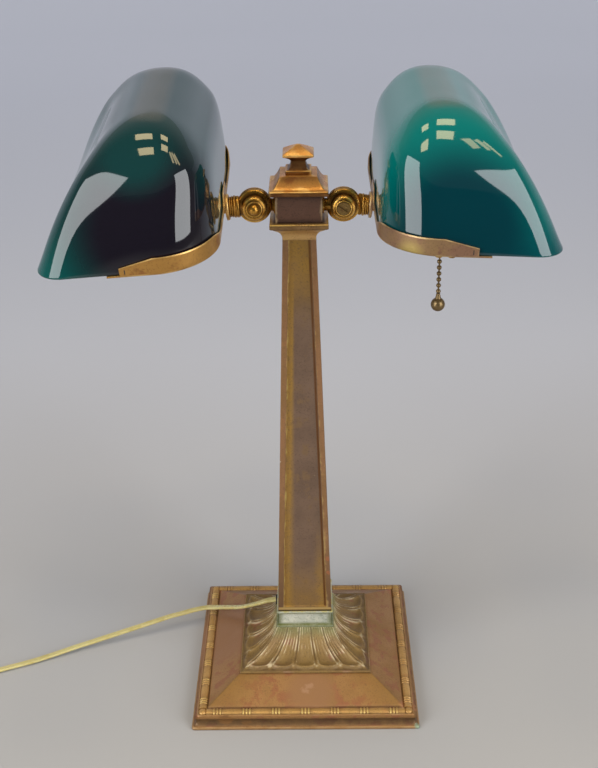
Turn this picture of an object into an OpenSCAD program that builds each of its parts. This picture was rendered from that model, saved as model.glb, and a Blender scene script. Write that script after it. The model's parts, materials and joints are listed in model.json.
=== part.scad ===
// Desk lamp with two green glass shades on a square panelled column.
// Millimetres, +Z up. The origin is the middle of the base's underside, and -Y is the front.
// The right side is built in place, and the left side is the same parts turned half round.

/* [Base] */
// Width of the square base at its bottom lip
base_w = 178; // [160:1:210]
// Height of the bottom lip
lip_h = 2.4; // [1.5:0.1:4]
// Height of the base's outer edge
edge_z = 11.4; // [10:0.1:16]
// How far the outer face draws in from the lip to the edge
edge_in = 4; // [3:0.5:8]
// Thickness of the cast walls
base_wall = 4; // [3:0.5:5]
// Radius of the bead and reel moulding
bead_r = 3.4; // [2.6:0.1:4]
// Depth of the moulding's middle below the base's outer edge
bead_sink = 1.2; // [0.6:0.1:1.6]
// Reels along each side of the moulding
reels = 7; // [3:1:8]
// Width of the flat top of the hipped panel
panel_top_w = 106; // [96:1:120]
// Height of the flat top of the hipped panel
panel_top_z = 25; // [22:0.5:32]
// Thickness of the felt under the base
felt_t = 2; // [1:0.5:3]

/* [Skirt and foot] */
// Width of the leaf skirt at its bottom edge
skirt_w = 104; // [80:1:106]
// Height of the leaf skirt
skirt_h = 23; // [15:1:35]
// Leaves along each side of the skirt
leaves = 5; // [3:1:8]
// How far a leaf swells from the skirt
leaf_swell = 1.6; // [0.5:0.1:2.5]
// Width of the foot collar at its bottom
collar_w = 46; // [43:1:52]
// Width of the foot collar at its waist
collar_waist_w = 40.5; // [38:0.5:42]
// Width of the foot collar's top flange
collar_top_w = 45; // [43:0.5:50]
// Height of the foot collar
collar_h = 15; // [12:0.5:20]

/* [Column] */
// Width of the column at its bottom
column_w = 43; // [40:0.5:48]
// Width of the column at its top
column_top_w = 23.7; // [22:0.1:30]
// Length of the column
column_h = 312; // [250:1:360]
// Thickness of the column's walls
column_wall = 3; // [2.5:0.1:4]
// Width of the raised border beside each panel
border_w = 4.4; // [2:0.1:6]
// Height of the raised rail under each panel
rail_h = 1.6; // [1:0.1:6]
// Depth of the sunk panels
panel_sink = 1.2; // [0.5:0.1:1.6]

/* [Head] */
// Height of the hollow flare under the head plate
flare_h = 10; // [6:0.5:16]
// Width of the head plate and of the roof plate
head_w = 41; // [38:0.5:46]
// Thickness of the head plate
head_plate_t = 4; // [2.5:0.1:6]
// Width of the square head box
box_w = 32.5; // [30:0.5:35]
// Height of the head box
box_h = 19.5; // [18:0.5:26]
// Thickness of the head box's walls
box_wall = 2.5; // [2:0.1:3.5]
// Thickness of the roof plate
roof_plate_t = 3.9; // [2.5:0.1:6]
// Height of the hollow-sided roof on the roof plate
roof_h = 8.4; // [6:0.1:14]
// Width of the roof's flat top
roof_top_w = 26; // [22:0.5:30]
// Height of the finial
finial_h = 19.4; // [16:0.1:28]
// Width of the finial's plinth
plinth_w = 18; // [15:0.5:22]
// Width of the finial's neck
finial_neck_w = 11; // [10:0.5:14]
// Width of the finial's square knob
knob_w = 21.4; // [18:0.1:26]
// Diameter of the tie rod that clamps base, column and head
rod_d = 6; // [5:0.5:7]

/* [Swivels] */
// How far each swivel's axis stands out from the head plate
hinge_out = 10.5; // [9.5:0.5:15]
// Height of the swivel's axis above the head plate
hinge_rise = 8.2; // [8:0.1:11]
// Radius of the swivel's knuckle
knuckle_r = 12.2; // [11.5:0.1:12.6]
// Length of the knuckle along its axis
knuckle_l = 22; // [21:0.5:26]
// Gap between the knuckle's two halves, which the friction washer fills
split = 1; // [0.8:0.1:2]
// Diameter of the pivot screw
pivot_d = 5; // [4:0.5:6]
// Diameter of the pivot screw's head
screw_head_d = 9.2; // [8:0.1:10]
// Radius of the neck's rings
neck_r = 7.4; // [6.5:0.1:8.5]
// Diameter of the hollow stud that carries the shade holder
stud_d = 6.4; // [5.5:0.1:7]
// Tilt of the right shade at rest, outer side down, in degrees
right_tilt = 2.5; // [0:0.5:10]
// Tilt of the left shade at rest, outer side down, in degrees
left_tilt = 4; // [0:0.5:10]
// Turn of the right shade about its neck at rest, front end down, in degrees
right_turn = 1; // [0:0.5:8]
// Turn of the left shade about its neck at rest, front end down, in degrees
left_turn = 5.5; // [0:0.5:8]

/* [Shades] */
// Distance from the swivel's axis to the glass
shade_gap = 21.2; // [20.5:0.1:26]
// Length of the glass along the shade
shade_l = 210; // [196:1:240]
// Height of the glass
shade_h = 82; // [70:1:95]
// Radius of the glass over the crown
crown_r = 39; // [36:0.5:44]
// Slope of the outer flank, in degrees
flank_slope = 55.5; // [50:0.5:65]
// Length of each domed end
end_l = 60; // [45:1:75]
// Fullness of the domed ends, where 2 is an ellipse
end_full = 1.9; // [1.6:0.1:2.6]
// Corner radius of the rim on the column's side
inner_corner_r = 38.5; // [30:0.5:39]
// Corner radius of the rim on the outer side
outer_corner_r = 20; // [12:0.5:30]
// Thickness of the glass
glass_t = 3.5; // [2.5:0.1:4.5]

/* [Holders] */
// Thickness of the brass wall
holder_t = 1.2; // [0.8:0.1:1.4]
// Height of the brass wall
holder_h = 10.5; // [8:0.5:14]
// How far the wall reaches outwards from the swivel's axis
holder_reach = 81; // [70:1:95]
// How far the bottom flange runs on past the wall
flange_run = 8.5; // [4:0.5:14]
// Width of the bottom flange, from the glass inwards
flange_w = 7; // [5:0.5:10]
// Thickness of the bottom flange
flange_t = 1.2; // [0.8:0.1:1.6]
// Height of the flange's underside over the stud's axis
rim_rise = 3.6; // [3.6:0.1:6]
// Diameter of the boss on the stud
boss_d = 18.5; // [16:0.5:20]
// How far the boss stands out from the wall
boss_t = 2; // [1:0.1:2.5]

/* [Sockets and bulbs] */
// Distance of the socket's axis from the swivel's axis
socket_p = 61; // [58:0.5:66]
// Height of the socket's axis above the flange's underside
socket_rise = 25; // [23:0.5:32]
// Outer radius of the socket's shell
socket_r = 16; // [15.5:0.1:18]
// Length of the socket's shell
socket_l = 38; // [36:0.5:44]
// Thickness of the socket's shell
socket_t = 0.8; // [0.5:0.1:1.2]
// How far the bracket's ear stands in from the end of the shade
ear_in = 17; // [16:0.5:21]
// Thickness of the bracket's strap
strap_t = 1.4; // [1:0.1:2]
// Width of the bracket's strap
strap_w = 16; // [14:0.5:22]
// Radius of the bulb's screw cap
cap_r = 13; // [12:0.1:13.2]
// Length of the bulb's screw cap
cap_l = 20; // [16:0.5:22]
// Radius of the tubular bulb
bulb_r = 15; // [13:0.5:18]
// Length of the bulb's glass
bulb_l = 112; // [80:1:118]

/* [Pull chains] */
// Diameter of a chain bead
chain_bead_d = 3.2; // [2.4:0.1:3.6]
// Distance from bead to bead
chain_pitch = 4.17; // [3.8:0.01:5]
// Beads in each chain
chain_beads = 9; // [5:1:16]
// Diameter of the ball on the chain's end
ball_d = 9.4; // [7:0.1:12]
// Diameter of the switch stem that the chain hangs from
stem_d = 3.2; // [2.6:0.1:3.6]
// Length of the stem below the socket's guide
stem_out = 3; // [2:0.5:6]

/* [Cord] */
// Width of the flat twin cord
cord_w = 5.2; // [4.8:0.1:5.6]
// Thickness of the flat twin cord
cord_t = 2.6; // [2.2:0.1:2.8]
// Outer radius of the coil, at the cord's middle
coil_r = 37.5; // [36.5:0.5:42]
// Turns in each layer of the coil
coil_turns = 3.9; // [2.4:0.5:3.9]
// Distance between turns of the coil
coil_pitch = 4.2; // [4.1:0.1:4.4]
// Length of the plug's body
plug_l = 28; // [24:1:36]
// Width of the plug's body
plug_w = 22; // [20:1:26]
// Height of the plug's body
plug_h = 15; // [13:0.5:18]

/* [Clearances] */
// Radial running clearance of pivots and sliding stems
run_fit = 0.05; // [0.02:0.01:0.1]
// Clearance between flat faces that move past each other
face_gap = 0.15; // [0.1:0.05:0.3]
// Clearance of loose seats and screw holes
seat_fit = 0.3; // [0.15:0.05:0.4]

/* [Hidden] */
$fn = 64;
sides = [1, -1];

// Heights of the stacked castings
skirt_z = panel_top_z;
collar_z = skirt_z + skirt_h;
column_z = collar_z + collar_h;
flare_z = column_z + column_h;
head_plate_z = flare_z + flare_h;
box_z = head_plate_z + head_plate_t;
roof_z = box_z + box_h;
finial_z = roof_z + roof_plate_t + roof_h;
hinge_x = head_w / 2 + hinge_out;
hinge_z = box_z + hinge_rise;

// Base section, as half widths and heights
lip_hw = base_w / 2;
edge_hw = lip_hw - edge_in;
edge_land = 0.8;
bead_hw = edge_hw - edge_land - seat_fit - bead_r;
bead_z = edge_z - bead_sink;
bead_ball_r = bead_r * 0.96;
groove_z = bead_z - bead_r;
panel_hw = bead_hw - bead_r - seat_fit - edge_land;
panel_z = edge_z + 1.2;
panel_top_hw = panel_top_w / 2;
panel_slope = (panel_top_z - panel_z) / (panel_hw - panel_top_hw);
cavity_hw = lip_hw - base_wall;
weight_hw = panel_hw - base_wall;
weight_roof_z = panel_z + (panel_hw - weight_hw) * panel_slope - base_wall * 1.2;
cavity_top_z = panel_top_z - base_wall;
cavity_top_hw = weight_hw - (cavity_top_z - weight_roof_z) / panel_slope;
weight_z = felt_t + 2.2;
nut_bay_r = 14;
nut_bay_top = weight_z + 8;
washer_t = 1.5;
rod_r = rod_d / 2;
rod_end_z = finial_z + finial_h * 0.55;

// Foot collar and the cord's way out of it
collar_wall = 3;
exit_y = 4;
exit_z = collar_z + 8;
exit_x = -24;
bushing_r = 4.2;

// Swivel
box_hw = box_w / 2;
arm_l = hinge_x - box_hw;
pivot_r = pivot_d / 2;
dome_flat_r = screw_head_d / 2 + 0.8;
knuckle_hl = knuckle_l / 2;
dome_y = knuckle_hl - sqrt(knuckle_r * knuckle_r - dome_flat_r * dome_flat_r);
stub_r = 4.6;
tail_r = 4;
tail_l = 6;
clear_r = knuckle_r + 0.5;
horn_p = knuckle_r + 2.6;
screw_sink = 2;
stud_r = stud_d / 2;
wire_bore_r = 2;

// Holder and glass, where p runs outwards, q along the shade and r up from the swivel's axis
glass_r = rim_rise + flange_t;
spine_p = shade_gap + crown_r;
wall_in = seat_fit;
wall_out = seat_fit + holder_t;
wall_p = shade_gap - wall_out;
boss_p = wall_p - boss_t;
wall_mid = (wall_in + wall_out) / 2;
flange_step = 0.1;
flange_r = rim_rise + flange_step;
boss_end_p = shade_gap - wall_in - flange_step;
nut_seat_p = boss_end_p - face_gap;
neck_nut_r = 4.4;
neck_nut_t = 3;
neck_nut_p = nut_seat_p + face_gap;
stud_end_p = neck_nut_p + neck_nut_t + 1;

// Socket
socket_axis_r = rim_rise + socket_rise;
ear_q = shade_l / 2 - ear_in;
hub_r = 7;
hub_l = 2;
dome_l = 8;
dome_edge = 0.6;
socket_q = -ear_q + hub_l + dome_l;
socket_end_q = socket_q + socket_l;
core_r = socket_r - socket_t - 0.2;
core_bore_q = socket_end_q - cap_l - 2;
chain_q = socket_q + 9;
nipple_r = 5;
socket_nut_t = 3;
guide_r = 3.4;
guide_end_r = rim_rise + 2;
stem_r = stem_d / 2;
stem_top_r = socket_axis_r - socket_r + 2;
stem_end_r = guide_end_r - stem_out;
stem_eye_r = stem_r * 1.2;
chain_r = chain_bead_d / 2;
chain_link_gap = 0.3;
socket_mouth_l = 1;
rivet_r = 1.3;
rivet_head_r = 2.2;
rivet_head_t = 0.8;

// Shade section: the outer flank is straight and meets the crown's arc in a tangent
arc_from = 90 - flank_slope;
side_segs = 12;
corner_segs = 6;
end_segs = 4;
shade_rows = 10;
crown_stop = 0.965;

function tilt(s) = s > 0 ? right_tilt : left_tilt;
// The left parts are turned half round, so their front end is the other end
function turn(s) = s > 0 ? right_turn : -left_turn;
function turn_x(v, a) = [v[0], v[1] * cos(a) - v[2] * sin(a), v[1] * sin(a) + v[2] * cos(a)];
function turn_y(v, a) = [v[0] * cos(a) + v[2] * sin(a), v[1], v[2] * cos(a) - v[0] * sin(a)];
function placed(s, v) =
    let (w = turn_y(turn_x(v, turn(s)), tilt(s)))
    [s * (hinge_x + w[0]), s * w[1], hinge_z + w[2]];
function unit(v) = v / norm(v);
function bump(u) = u * u * (3 - 2 * u);

// Triangles between rings of n points each, in a row, with capped or joined ends
function band(a, b, n) = [for (k = [0 : n - 1]) let (j = (k + 1) % n)
    each [[a * n + k, a * n + j, b * n + j], [a * n + k, b * n + j, b * n + k]]];
function ring_faces(rings, n, joined) = concat(
    [for (i = [0 : rings - 2]) each band(i, i + 1, n)],
    joined ? band(rings - 1, 0, n) : concat(
        [for (k = [1 : n - 2]) [0, k + 1, k]],
        [for (k = [1 : n - 2]) let (e = (rings - 1) * n) [e, e + k, e + k + 1]]));

// A flat tube through the points of a path; roll turns its wide side from level to upright
function path_dir(path, i) =
    unit(path[min(i + 1, len(path) - 1)] - path[max(i - 1, 0)]);
function tube_ring(c, dir, half_w, half_t, roll, n) =
    let (side = unit(cross([0, 0, 1], dir)), up = cross(dir, side),
        wide = side * cos(roll) + up * sin(roll), thin = up * cos(roll) - side * sin(roll))
    [for (k = [0 : n - 1]) c + wide * half_w * cos(360 * k / n) - thin * half_t * sin(360 * k / n)];
module tube(path, half_w, half_t, rolls, n) {
    rings = [for (i = [0 : len(path) - 1])
        each tube_ring(path[i], path_dir(path, i), half_w, half_t, rolls[i], n)];
    polyhedron(rings, ring_faces(len(path), n, false), convexity = 10);
}

// A square casting whose half width follows a section of [half width, height] points
module squared(section) {
    mirrored = [for (i = [len(section) - 1 : -1 : 0]) [-section[i][0], section[i][1]]];
    span = 2 * max([for (p = section) p[0]]) + 2;
    intersection() {
        rotate([90, 0, 0]) linear_extrude(span, center = true) polygon(concat(section, mirrored));
        rotate([90, 0, 90]) linear_extrude(span, center = true) polygon(concat(section, mirrored));
    }
}
// A hollow curve from one half width to another, bent towards the axis
function hollow(hw_a, z_a, hw_b, z_b, bend, steps) = [for (i = [0 : steps]) let (u = i / steps)
    [hw_a + (hw_b - hw_a) * pow(u, bend), z_a + (z_b - z_a) * u]];
module rod_hole() {
    translate([0, 0, -1]) cylinder(r = rod_r + seat_fit, h = finial_z + finial_h);
}
module along_x(x0, x1, r) {
    translate([x0, 0, 0]) rotate([0, 90, 0]) cylinder(r = r, h = x1 - x0);
}
module along_y(y0, y1, r) {
    translate([0, y0, 0]) rotate([-90, 0, 0]) cylinder(r = r, h = y1 - y0);
}

// Frames of the two sides
module on_arm(s) {
    rotate([0, 0, s > 0 ? 0 : 180]) translate([hinge_x, 0, hinge_z]) children();
}
module on_swivel(s) {
    on_arm(s) rotate([0, tilt(s), 0]) children();
}
module on_holder(s) {
    on_swivel(s) rotate([turn(s), 0, 0]) children();
}

// Base
module felt_pad() {
    color("darkolivegreen") translate([0, 0, felt_t / 2])
        cube([2 * (cavity_hw - seat_fit), 2 * (cavity_hw - seat_fit), felt_t], center = true);
}
module base_shell() {
    cove_hw = edge_hw + 0.8;
    color("#6b4a2b") difference() {
        squared([[lip_hw, 0], [lip_hw, lip_h], [edge_hw + 2, lip_h + 1], [cove_hw, (lip_h + edge_z) / 2],
            [edge_hw, edge_z], [panel_hw, edge_z], [panel_hw, panel_z], [panel_top_hw, panel_top_z]]);
        squared([[cavity_hw, -1], [cavity_hw, felt_t + 0.6], [weight_hw, groove_z - base_wall * 0.7],
            [weight_hw, weight_roof_z], [cavity_top_hw, cavity_top_z]]);
        groove_ring();
        rod_hole();
    }
}
module groove_ring() {
    wide = 2 * (bead_hw + bead_r + seat_fit);
    narrow = 2 * (bead_hw - bead_r - seat_fit);
    translate([0, 0, groove_z + panel_top_z / 2]) difference() {
        cube([wide, wide, panel_top_z], center = true);
        cube([narrow, narrow, panel_top_z + 2], center = true);
    }
}
// One side of the moulding: reels of three discs with long beads between them, ending short of a corner ball
module bead_side() {
    pitch = 2 * bead_hw / reels;
    disc_w = 2;
    disc_step = 2.7;
    reel_hw = disc_step + disc_w / 2;
    neck = bead_r * 0.6;
    steps = 5;
    end = bead_hw - bead_ball_r - seat_fit;
    // Half a bead, from its middle to a reel
    half_bead = [for (i = [0 : steps]) let (u = i / steps)
        [neck + (bead_ball_r - neck) * sqrt(1 - u * u), u * (pitch / 2 - reel_hw)]];
    disc = [[neck, -disc_w / 2], [bead_r, -disc_w / 2], [bead_r, disc_w / 2], [neck, disc_w / 2]];
    reel = [for (d = [-1 : 1]) each [for (p = disc) [p[0], p[1] + d * disc_step]]];
    cell = concat([for (p = half_bead) [p[0], p[1] - pitch / 2]],
        [for (i = [1 : len(reel) - 2]) reel[i]],
        [for (i = [steps : -1 : 1]) [half_bead[i][0], pitch / 2 - half_bead[i][1]]]);
    row = [for (c = [0 : reels - 1]) each
        [for (p = cell) [p[0], p[1] + (c - (reels - 1) / 2) * pitch]]];
    inside = [for (p = row) if (abs(p[1]) < end - edge_land) p];
    outline = concat([[0, -end], [inside[0][0], -end]], inside, [[inside[0][0], end], [0, end]]);
    translate([0, -bead_hw, bead_z]) rotate([0, 90, 0]) rotate_extrude() polygon(outline);
}
module bead_moulding() {
    color("#8a6a3a") for (a = [0 : 90 : 270]) rotate([0, 0, a]) {
        bead_side();
        translate([bead_hw, bead_hw, bead_z]) sphere(r = bead_ball_r);
    }
}
module base_weight() {
    color("#3a3a3a") difference() {
        squared([[weight_hw - seat_fit, weight_z], [weight_hw - seat_fit, weight_roof_z - seat_fit],
            [cavity_top_hw - seat_fit, cavity_top_z]]);
        rod_hole();
        cylinder(r = nut_bay_r, h = nut_bay_top);
    }
}

// Skirt of leaves: a trumpet section with a swell for each leaf
module leaf_skirt() {
    leaf_segs = 4;
    n = leaves * leaf_segs;
    rows = 7;
    foot_h = 1.4;
    wall = 3;
    bottom_hw = skirt_w / 2;
    top_hw = collar_w / 2;
    rise = skirt_h - foot_h;
    function hw(v) = top_hw + (bottom_hw - top_hw) * pow(1 - v, 1.5);
    function height(v) = skirt_z + foot_h + rise * pow(v, 1.7);
    // A leaf is full just above its tip and thins towards the top
    function fullness(v) = (1 - 0.6 * v) * sin(90 * min(1, 4 * v));
    function swell(v, k) = leaf_swell * fullness(v) * abs(sin(180 * k / leaf_segs));
    // One ring of 4n points; out and up say how the swell is shared
    function ring(hw, z, v, share) = [for (side = [0 : 3]) each [for (k = [0 : n - 1])
        let (w = swell(v, k) * share, u = (2 * k / n - 1) * hw, o = hw + w * v, a = side * 90)
        [u * cos(a) + o * sin(a), u * sin(a) - o * cos(a), z + w * (1 - v)]]];
    outer = concat([ring(bottom_hw, skirt_z, 0, 0)],
        [for (i = [0 : rows - 1]) let (v = i / rows) ring(hw(v), height(v), v, 1)],
        [ring(top_hw, collar_z, 1, 0)]);
    inner = [ring(top_hw - wall, collar_z, 1, 0), ring(hw(0.5) - wall, height(0.5) - wall, 0.5, 0),
        ring(bottom_hw - 3 * wall, skirt_z, 0, 0)];
    rings = concat(outer, inner);
    color("#7a5a34")
        polyhedron([for (r = rings) each r], ring_faces(len(rings), 4 * n, true), convexity = 10);
}
module foot_collar() {
    bottom_hw = collar_w / 2;
    waist_hw = collar_waist_w / 2;
    top_hw = collar_top_w / 2;
    top = column_z;
    flange = 2;
    flare = 0.8;
    color("#b9b7ad") difference() {
        squared(concat([[bottom_hw, collar_z], [bottom_hw, collar_z + flange]],
            hollow(waist_hw + flare, collar_z + flange, waist_hw, top - flange, 0.7, 4),
            [[top_hw, top - flange], [top_hw, top]]));
        squared([[waist_hw - collar_wall, collar_z - 1], [waist_hw - collar_wall, top + 1]]);
        exit_hole(exit_x - 1, 0, bushing_r);
    }
}
module exit_hole(x0, x1, r) {
    translate([0, exit_y, exit_z]) along_x(x0, x1, r);
}
module cord_bushing() {
    color("#2b241d") exit_hole(exit_x, collar_wall - collar_waist_w / 2, bushing_r - 0.05);
}

// Column with a sunk panel on each face, which runs up to the capital
module column() {
    top = flare_z;
    foot_hw = column_w / 2;
    top_hw = column_top_w / 2;
    open_end = 1;
    color("#9c7f45") difference() {
        squared([[foot_hw, column_z], [top_hw, top]]);
        squared([[foot_hw - column_wall, column_z - 1], [top_hw - column_wall, top + 1]]);
        for (a = [0 : 90 : 270]) rotate([0, 0, a]) difference() {
            rotate([90, 0, 0]) linear_extrude(column_w) polygon([[border_w - foot_hw, column_z + rail_h],
                [foot_hw - border_w, column_z + rail_h], [top_hw - border_w, top],
                [top_hw - border_w, top + open_end], [border_w - top_hw, top + open_end],
                [border_w - top_hw, top]]);
            squared([[foot_hw - panel_sink, column_z - 1], [top_hw - panel_sink, top + 1]]);
        }
    }
}
module riser_wires() {
    wire_r = 1.2;
    wire_y = rod_r + seat_fit + wire_r + 0.6;
    color("goldenrod") for (y = [-wire_y, wire_y])
        translate([0, y, exit_z]) cylinder(r = wire_r, h = box_z + box_h / 2 - exit_z);
}

// Head
module capital() {
    bore_hw = column_top_w / 2 - column_wall;
    color("#8c6d3c") difference() {
        squared(concat(hollow(column_top_w / 2, flare_z, head_w / 2 - 2, head_plate_z, 2.6, 6),
            [[head_w / 2, head_plate_z], [head_w / 2, box_z]]));
        squared([[bore_hw, flare_z - 1], [bore_hw, box_z + 1]]);
    }
}
module head_box() {
    color("#4f382b") difference() {
        translate([0, 0, box_z + box_h / 2]) cube([box_w, box_w, box_h], center = true);
        translate([0, 0, box_z + box_h / 2])
            cube([box_w - 2 * box_wall, box_w - 2 * box_wall, box_h + 2], center = true);
        for (s = sides) on_arm(s) along_x(-hinge_x + 1, 0, tail_r + 0.1);
    }
}
module roof_cap() {
    color("#b07a36") difference() {
        squared(concat([[head_w / 2, roof_z], [head_w / 2, roof_z + roof_plate_t]],
            hollow(head_w / 2 - 1, roof_z + roof_plate_t, roof_top_w / 2, finial_z, 0.6, 6)));
        rod_hole();
    }
}
module finial() {
    plinth_h = 3;
    lower_neck = finial_h * 0.65;
    brim = 1.7;
    color("#c08a42") difference() {
        squared(concat([[plinth_w / 2, finial_z], [plinth_w / 2, finial_z + plinth_h]],
            hollow(finial_neck_w / 2 + 1.4, finial_z + plinth_h, finial_neck_w / 2 - 0.6,
                finial_z + lower_neck * 0.7, 0.5, 4),
            [[knob_w / 2, finial_z + lower_neck], [knob_w / 2, finial_z + lower_neck + brim],
                [0.3, finial_z + finial_h]]));
        translate([0, 0, finial_z - 1]) cylinder(r = rod_r + 0.02, h = rod_end_z - finial_z + 1.4);
    }
}
module tie_rod() {
    color("#8d8d88") translate([0, 0, weight_z + 0.4]) cylinder(r = rod_r, h = rod_end_z - weight_z - 0.4);
}
module rod_nut() {
    color("#9a9a92") translate([0, 0, nut_bay_top - washer_t - rod_d * 0.8]) difference() {
        cylinder(r = rod_d, h = rod_d * 0.8, $fn = 6);
        translate([0, 0, -1]) cylinder(r = rod_r + 0.02, h = rod_d * 2);
    }
}
module rod_washer() {
    color("#9a9a92") translate([0, 0, nut_bay_top - washer_t]) difference() {
        cylinder(r = rod_d * 1.8, h = washer_t);
        translate([0, 0, -1]) cylinder(r = rod_r + seat_fit, h = washer_t * 3);
    }
}

// Swivels: the arm's half of the knuckle is at the front, the shade's half behind it
module dome_half() {
    rotate_extrude() intersection() {
        union() {
            translate([0, dome_y]) circle(r = knuckle_r);
            if (dome_y > 0) square([knuckle_r, dome_y]);
        }
        translate([0, split / 2]) square([knuckle_r, knuckle_hl - split / 2]);
    }
}
module behind() {
    reach = 2 * knuckle_l;
    translate([-reach, split / 2, -reach]) cube([2 * reach, reach, 2 * reach]);
}
module arm(s) {
    color("#b8862f") on_arm(s) difference() {
        union() {
            rotate([90, 0, 0]) dome_half();
            along_x(-arm_l, -clear_r, stub_r);
            mirror([0, 1, 0]) intersection() {
                along_x(-clear_r - 1, 0, stub_r);
                behind();
            }
            along_x(-arm_l - box_wall - tail_l, -arm_l, tail_r);
        }
        along_y(-knuckle_l, knuckle_l, pivot_r + run_fit);
        along_y(-knuckle_l, screw_sink - knuckle_hl, screw_head_d / 2 + 0.15);
    }
}
module arm_nuts() {
    color("#a9862f") for (s = sides) on_arm(s) translate([-arm_l - box_wall, 0, 0]) rotate([0, -90, 0])
        difference() {
            cylinder(r = tail_r * 1.8, h = 3.5, $fn = 6);
            translate([0, 0, -1]) cylinder(r = tail_r + 0.05, h = 6);
        }
}
module pivot_screws() {
    head_top = knuckle_hl + 0.4;
    slot_w = 1.2;
    color("#8a7a5a") for (s = sides) on_arm(s) difference() {
        union() {
            along_y(-head_top, screw_sink - knuckle_hl, screw_head_d / 2);
            along_y(screw_sink - knuckle_hl, knuckle_hl + face_gap + 1.8, pivot_r);
        }
        translate([0, -head_top, 0]) rotate([0, 35, 0]) cube([screw_head_d + 2, 2, slot_w], center = true);
    }
}
module pivot_nuts() {
    nut_r = pivot_r + 1.2;
    nut_y = knuckle_hl + face_gap;
    color("#b8862f") for (s = sides) on_arm(s) difference() {
        translate([0, nut_y, 0]) rotate([-90, 0, 0]) rotate_extrude() intersection() {
            translate([0, -0.8]) circle(r = nut_r + 0.3);
            square([nut_r, nut_r]);
        }
        along_y(0, knuckle_hl + face_gap + 1.9, pivot_r + 0.02);
    }
}
module friction_washers() {
    color("#5a4a3a") for (s = sides) on_arm(s) difference() {
        along_y(-split / 2, split / 2 - face_gap, knuckle_r - 0.6);
        along_y(-split, split, pivot_r + run_fit);
    }
}
module knuckle(s) {
    color("#b8862f") on_swivel(s) difference() {
        union() {
            rotate([-90, 0, 0]) dome_half();
            along_x(clear_r, horn_p, neck_r - 0.4);
            intersection() {
                along_x(0, clear_r + 1, neck_r - 0.4);
                behind();
            }
            along_x(horn_p, stud_end_p, stud_r);
        }
        along_y(-knuckle_l, knuckle_l, pivot_r + run_fit);
        along_x(horn_p, stud_end_p + 1, wire_bore_r);
    }
}
module neck_rings(s) {
    room = boss_p - face_gap - horn_p;
    groove = neck_r - 1.3;
    steps = [[neck_r, 0], [neck_r, 0.27], [groove, 0.27], [groove, 0.4], [neck_r - 0.3, 0.4],
        [neck_r - 0.3, 0.64], [groove, 0.64], [groove, 0.76], [neck_r + 0.2, 0.76], [neck_r + 0.2, 1]];
    hole_r = stud_r + 0.02;
    color("#c29a3c") on_swivel(s) translate([horn_p, 0, 0]) rotate([0, 90, 0]) rotate_extrude()
        polygon(concat([[hole_r, 0]], [for (p = steps) [p[0], p[1] * room]], [[hole_r, room]]));
}
module neck_nut(s) {
    color("#a9862f") on_swivel(s) difference() {
        along_x(neck_nut_p, neck_nut_p + neck_nut_t, neck_nut_r);
        along_x(0, stud_end_p + 1, stud_r + 0.02);
    }
}

// Plan of the glass rim, grown by d: two large corners by the column and two small ones outside
module rim_plan(d) {
    outer_p = spine_p + flank_out(0);
    hl = shade_l / 2;
    in_p = shade_gap + inner_corner_r;
    out_p = outer_p - outer_corner_r;
    translate([shade_gap - d, inner_corner_r - hl])
        square([outer_p - shade_gap + 2 * d, 2 * (hl - inner_corner_r)]);
    translate([in_p, -hl - d]) square([out_p - in_p, 2 * (hl + d)]);
    translate([in_p, outer_corner_r - hl])
        square([outer_p + d - in_p, 2 * (hl - outer_corner_r)]);
    for (m = [-1, 1]) {
        translate([in_p, m * (hl - inner_corner_r)]) circle(r = inner_corner_r + d);
        translate([out_p, m * (hl - outer_corner_r)]) circle(r = outer_corner_r + d);
    }
}
module rim_ring(grow_out, grow_in, reach, h) {
    linear_extrude(h) intersection() {
        difference() {
            rim_plan(grow_out);
            rim_plan(grow_in);
        }
        translate([0, -shade_l]) square([reach, 2 * shade_l]);
    }
}
module holder(s) {
    color("#a8884c") on_holder(s) difference() {
        union() {
            translate([0, 0, rim_rise]) rim_ring(wall_out, wall_in, holder_reach, flange_t + holder_h);
            translate([0, 0, flange_r])
                rim_ring(wall_mid, -flange_w, holder_reach + flange_run, flange_t - flange_step);
            along_x(boss_p, boss_end_p, boss_d / 2);
        }
        along_x(0, stud_end_p + 4, stud_r + run_fit);
        along_x(nut_seat_p, shade_gap + flange_w + 4, neck_nut_r + seat_fit);
    }
}

// Glass shade: three sections, over the inner wall, the outer flank and the ends, blended by direction
function flank_out(d) = let (r = crown_r - d, wall = shade_h - crown_r + r * sin(arc_from))
    r * cos(arc_from) + wall / tan(flank_slope);
function inner_section(t, d) =
    let (r = crown_r - d, wall = shade_h - crown_r, run = t * (wall + r * PI / 2))
    run < wall ? [1, run] : let (a = (run - wall) / r * 180 / PI) [cos(a), wall + r * sin(a)];
function outer_section(t, d) =
    let (r = crown_r - d, out = flank_out(d), wall = shade_h - crown_r + r * sin(arc_from),
        flank = wall / sin(flank_slope), run = t * (flank + r * flank_slope * PI / 180))
    run < flank ? [1 - run * cos(flank_slope) / out, run * sin(flank_slope)] :
        let (a = arc_from + (run - flank) / r * 180 / PI)
        [r * cos(a) / out, shade_h - crown_r + r * sin(a)];
function end_section(t, d) =
    [pow(cos(90 * t), 2 / end_full), (shade_h - d) * pow(sin(90 * t), 2 / end_full)];
function arc_points(c, r, a0, a1, n) = [for (i = [1 : n]) let (a = a0 + (a1 - a0) * i / n)
    c + r * [cos(a), sin(a)]];
function line_points(a, b, n) = [for (i = [1 : n]) a + (b - a) * i / n];
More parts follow.
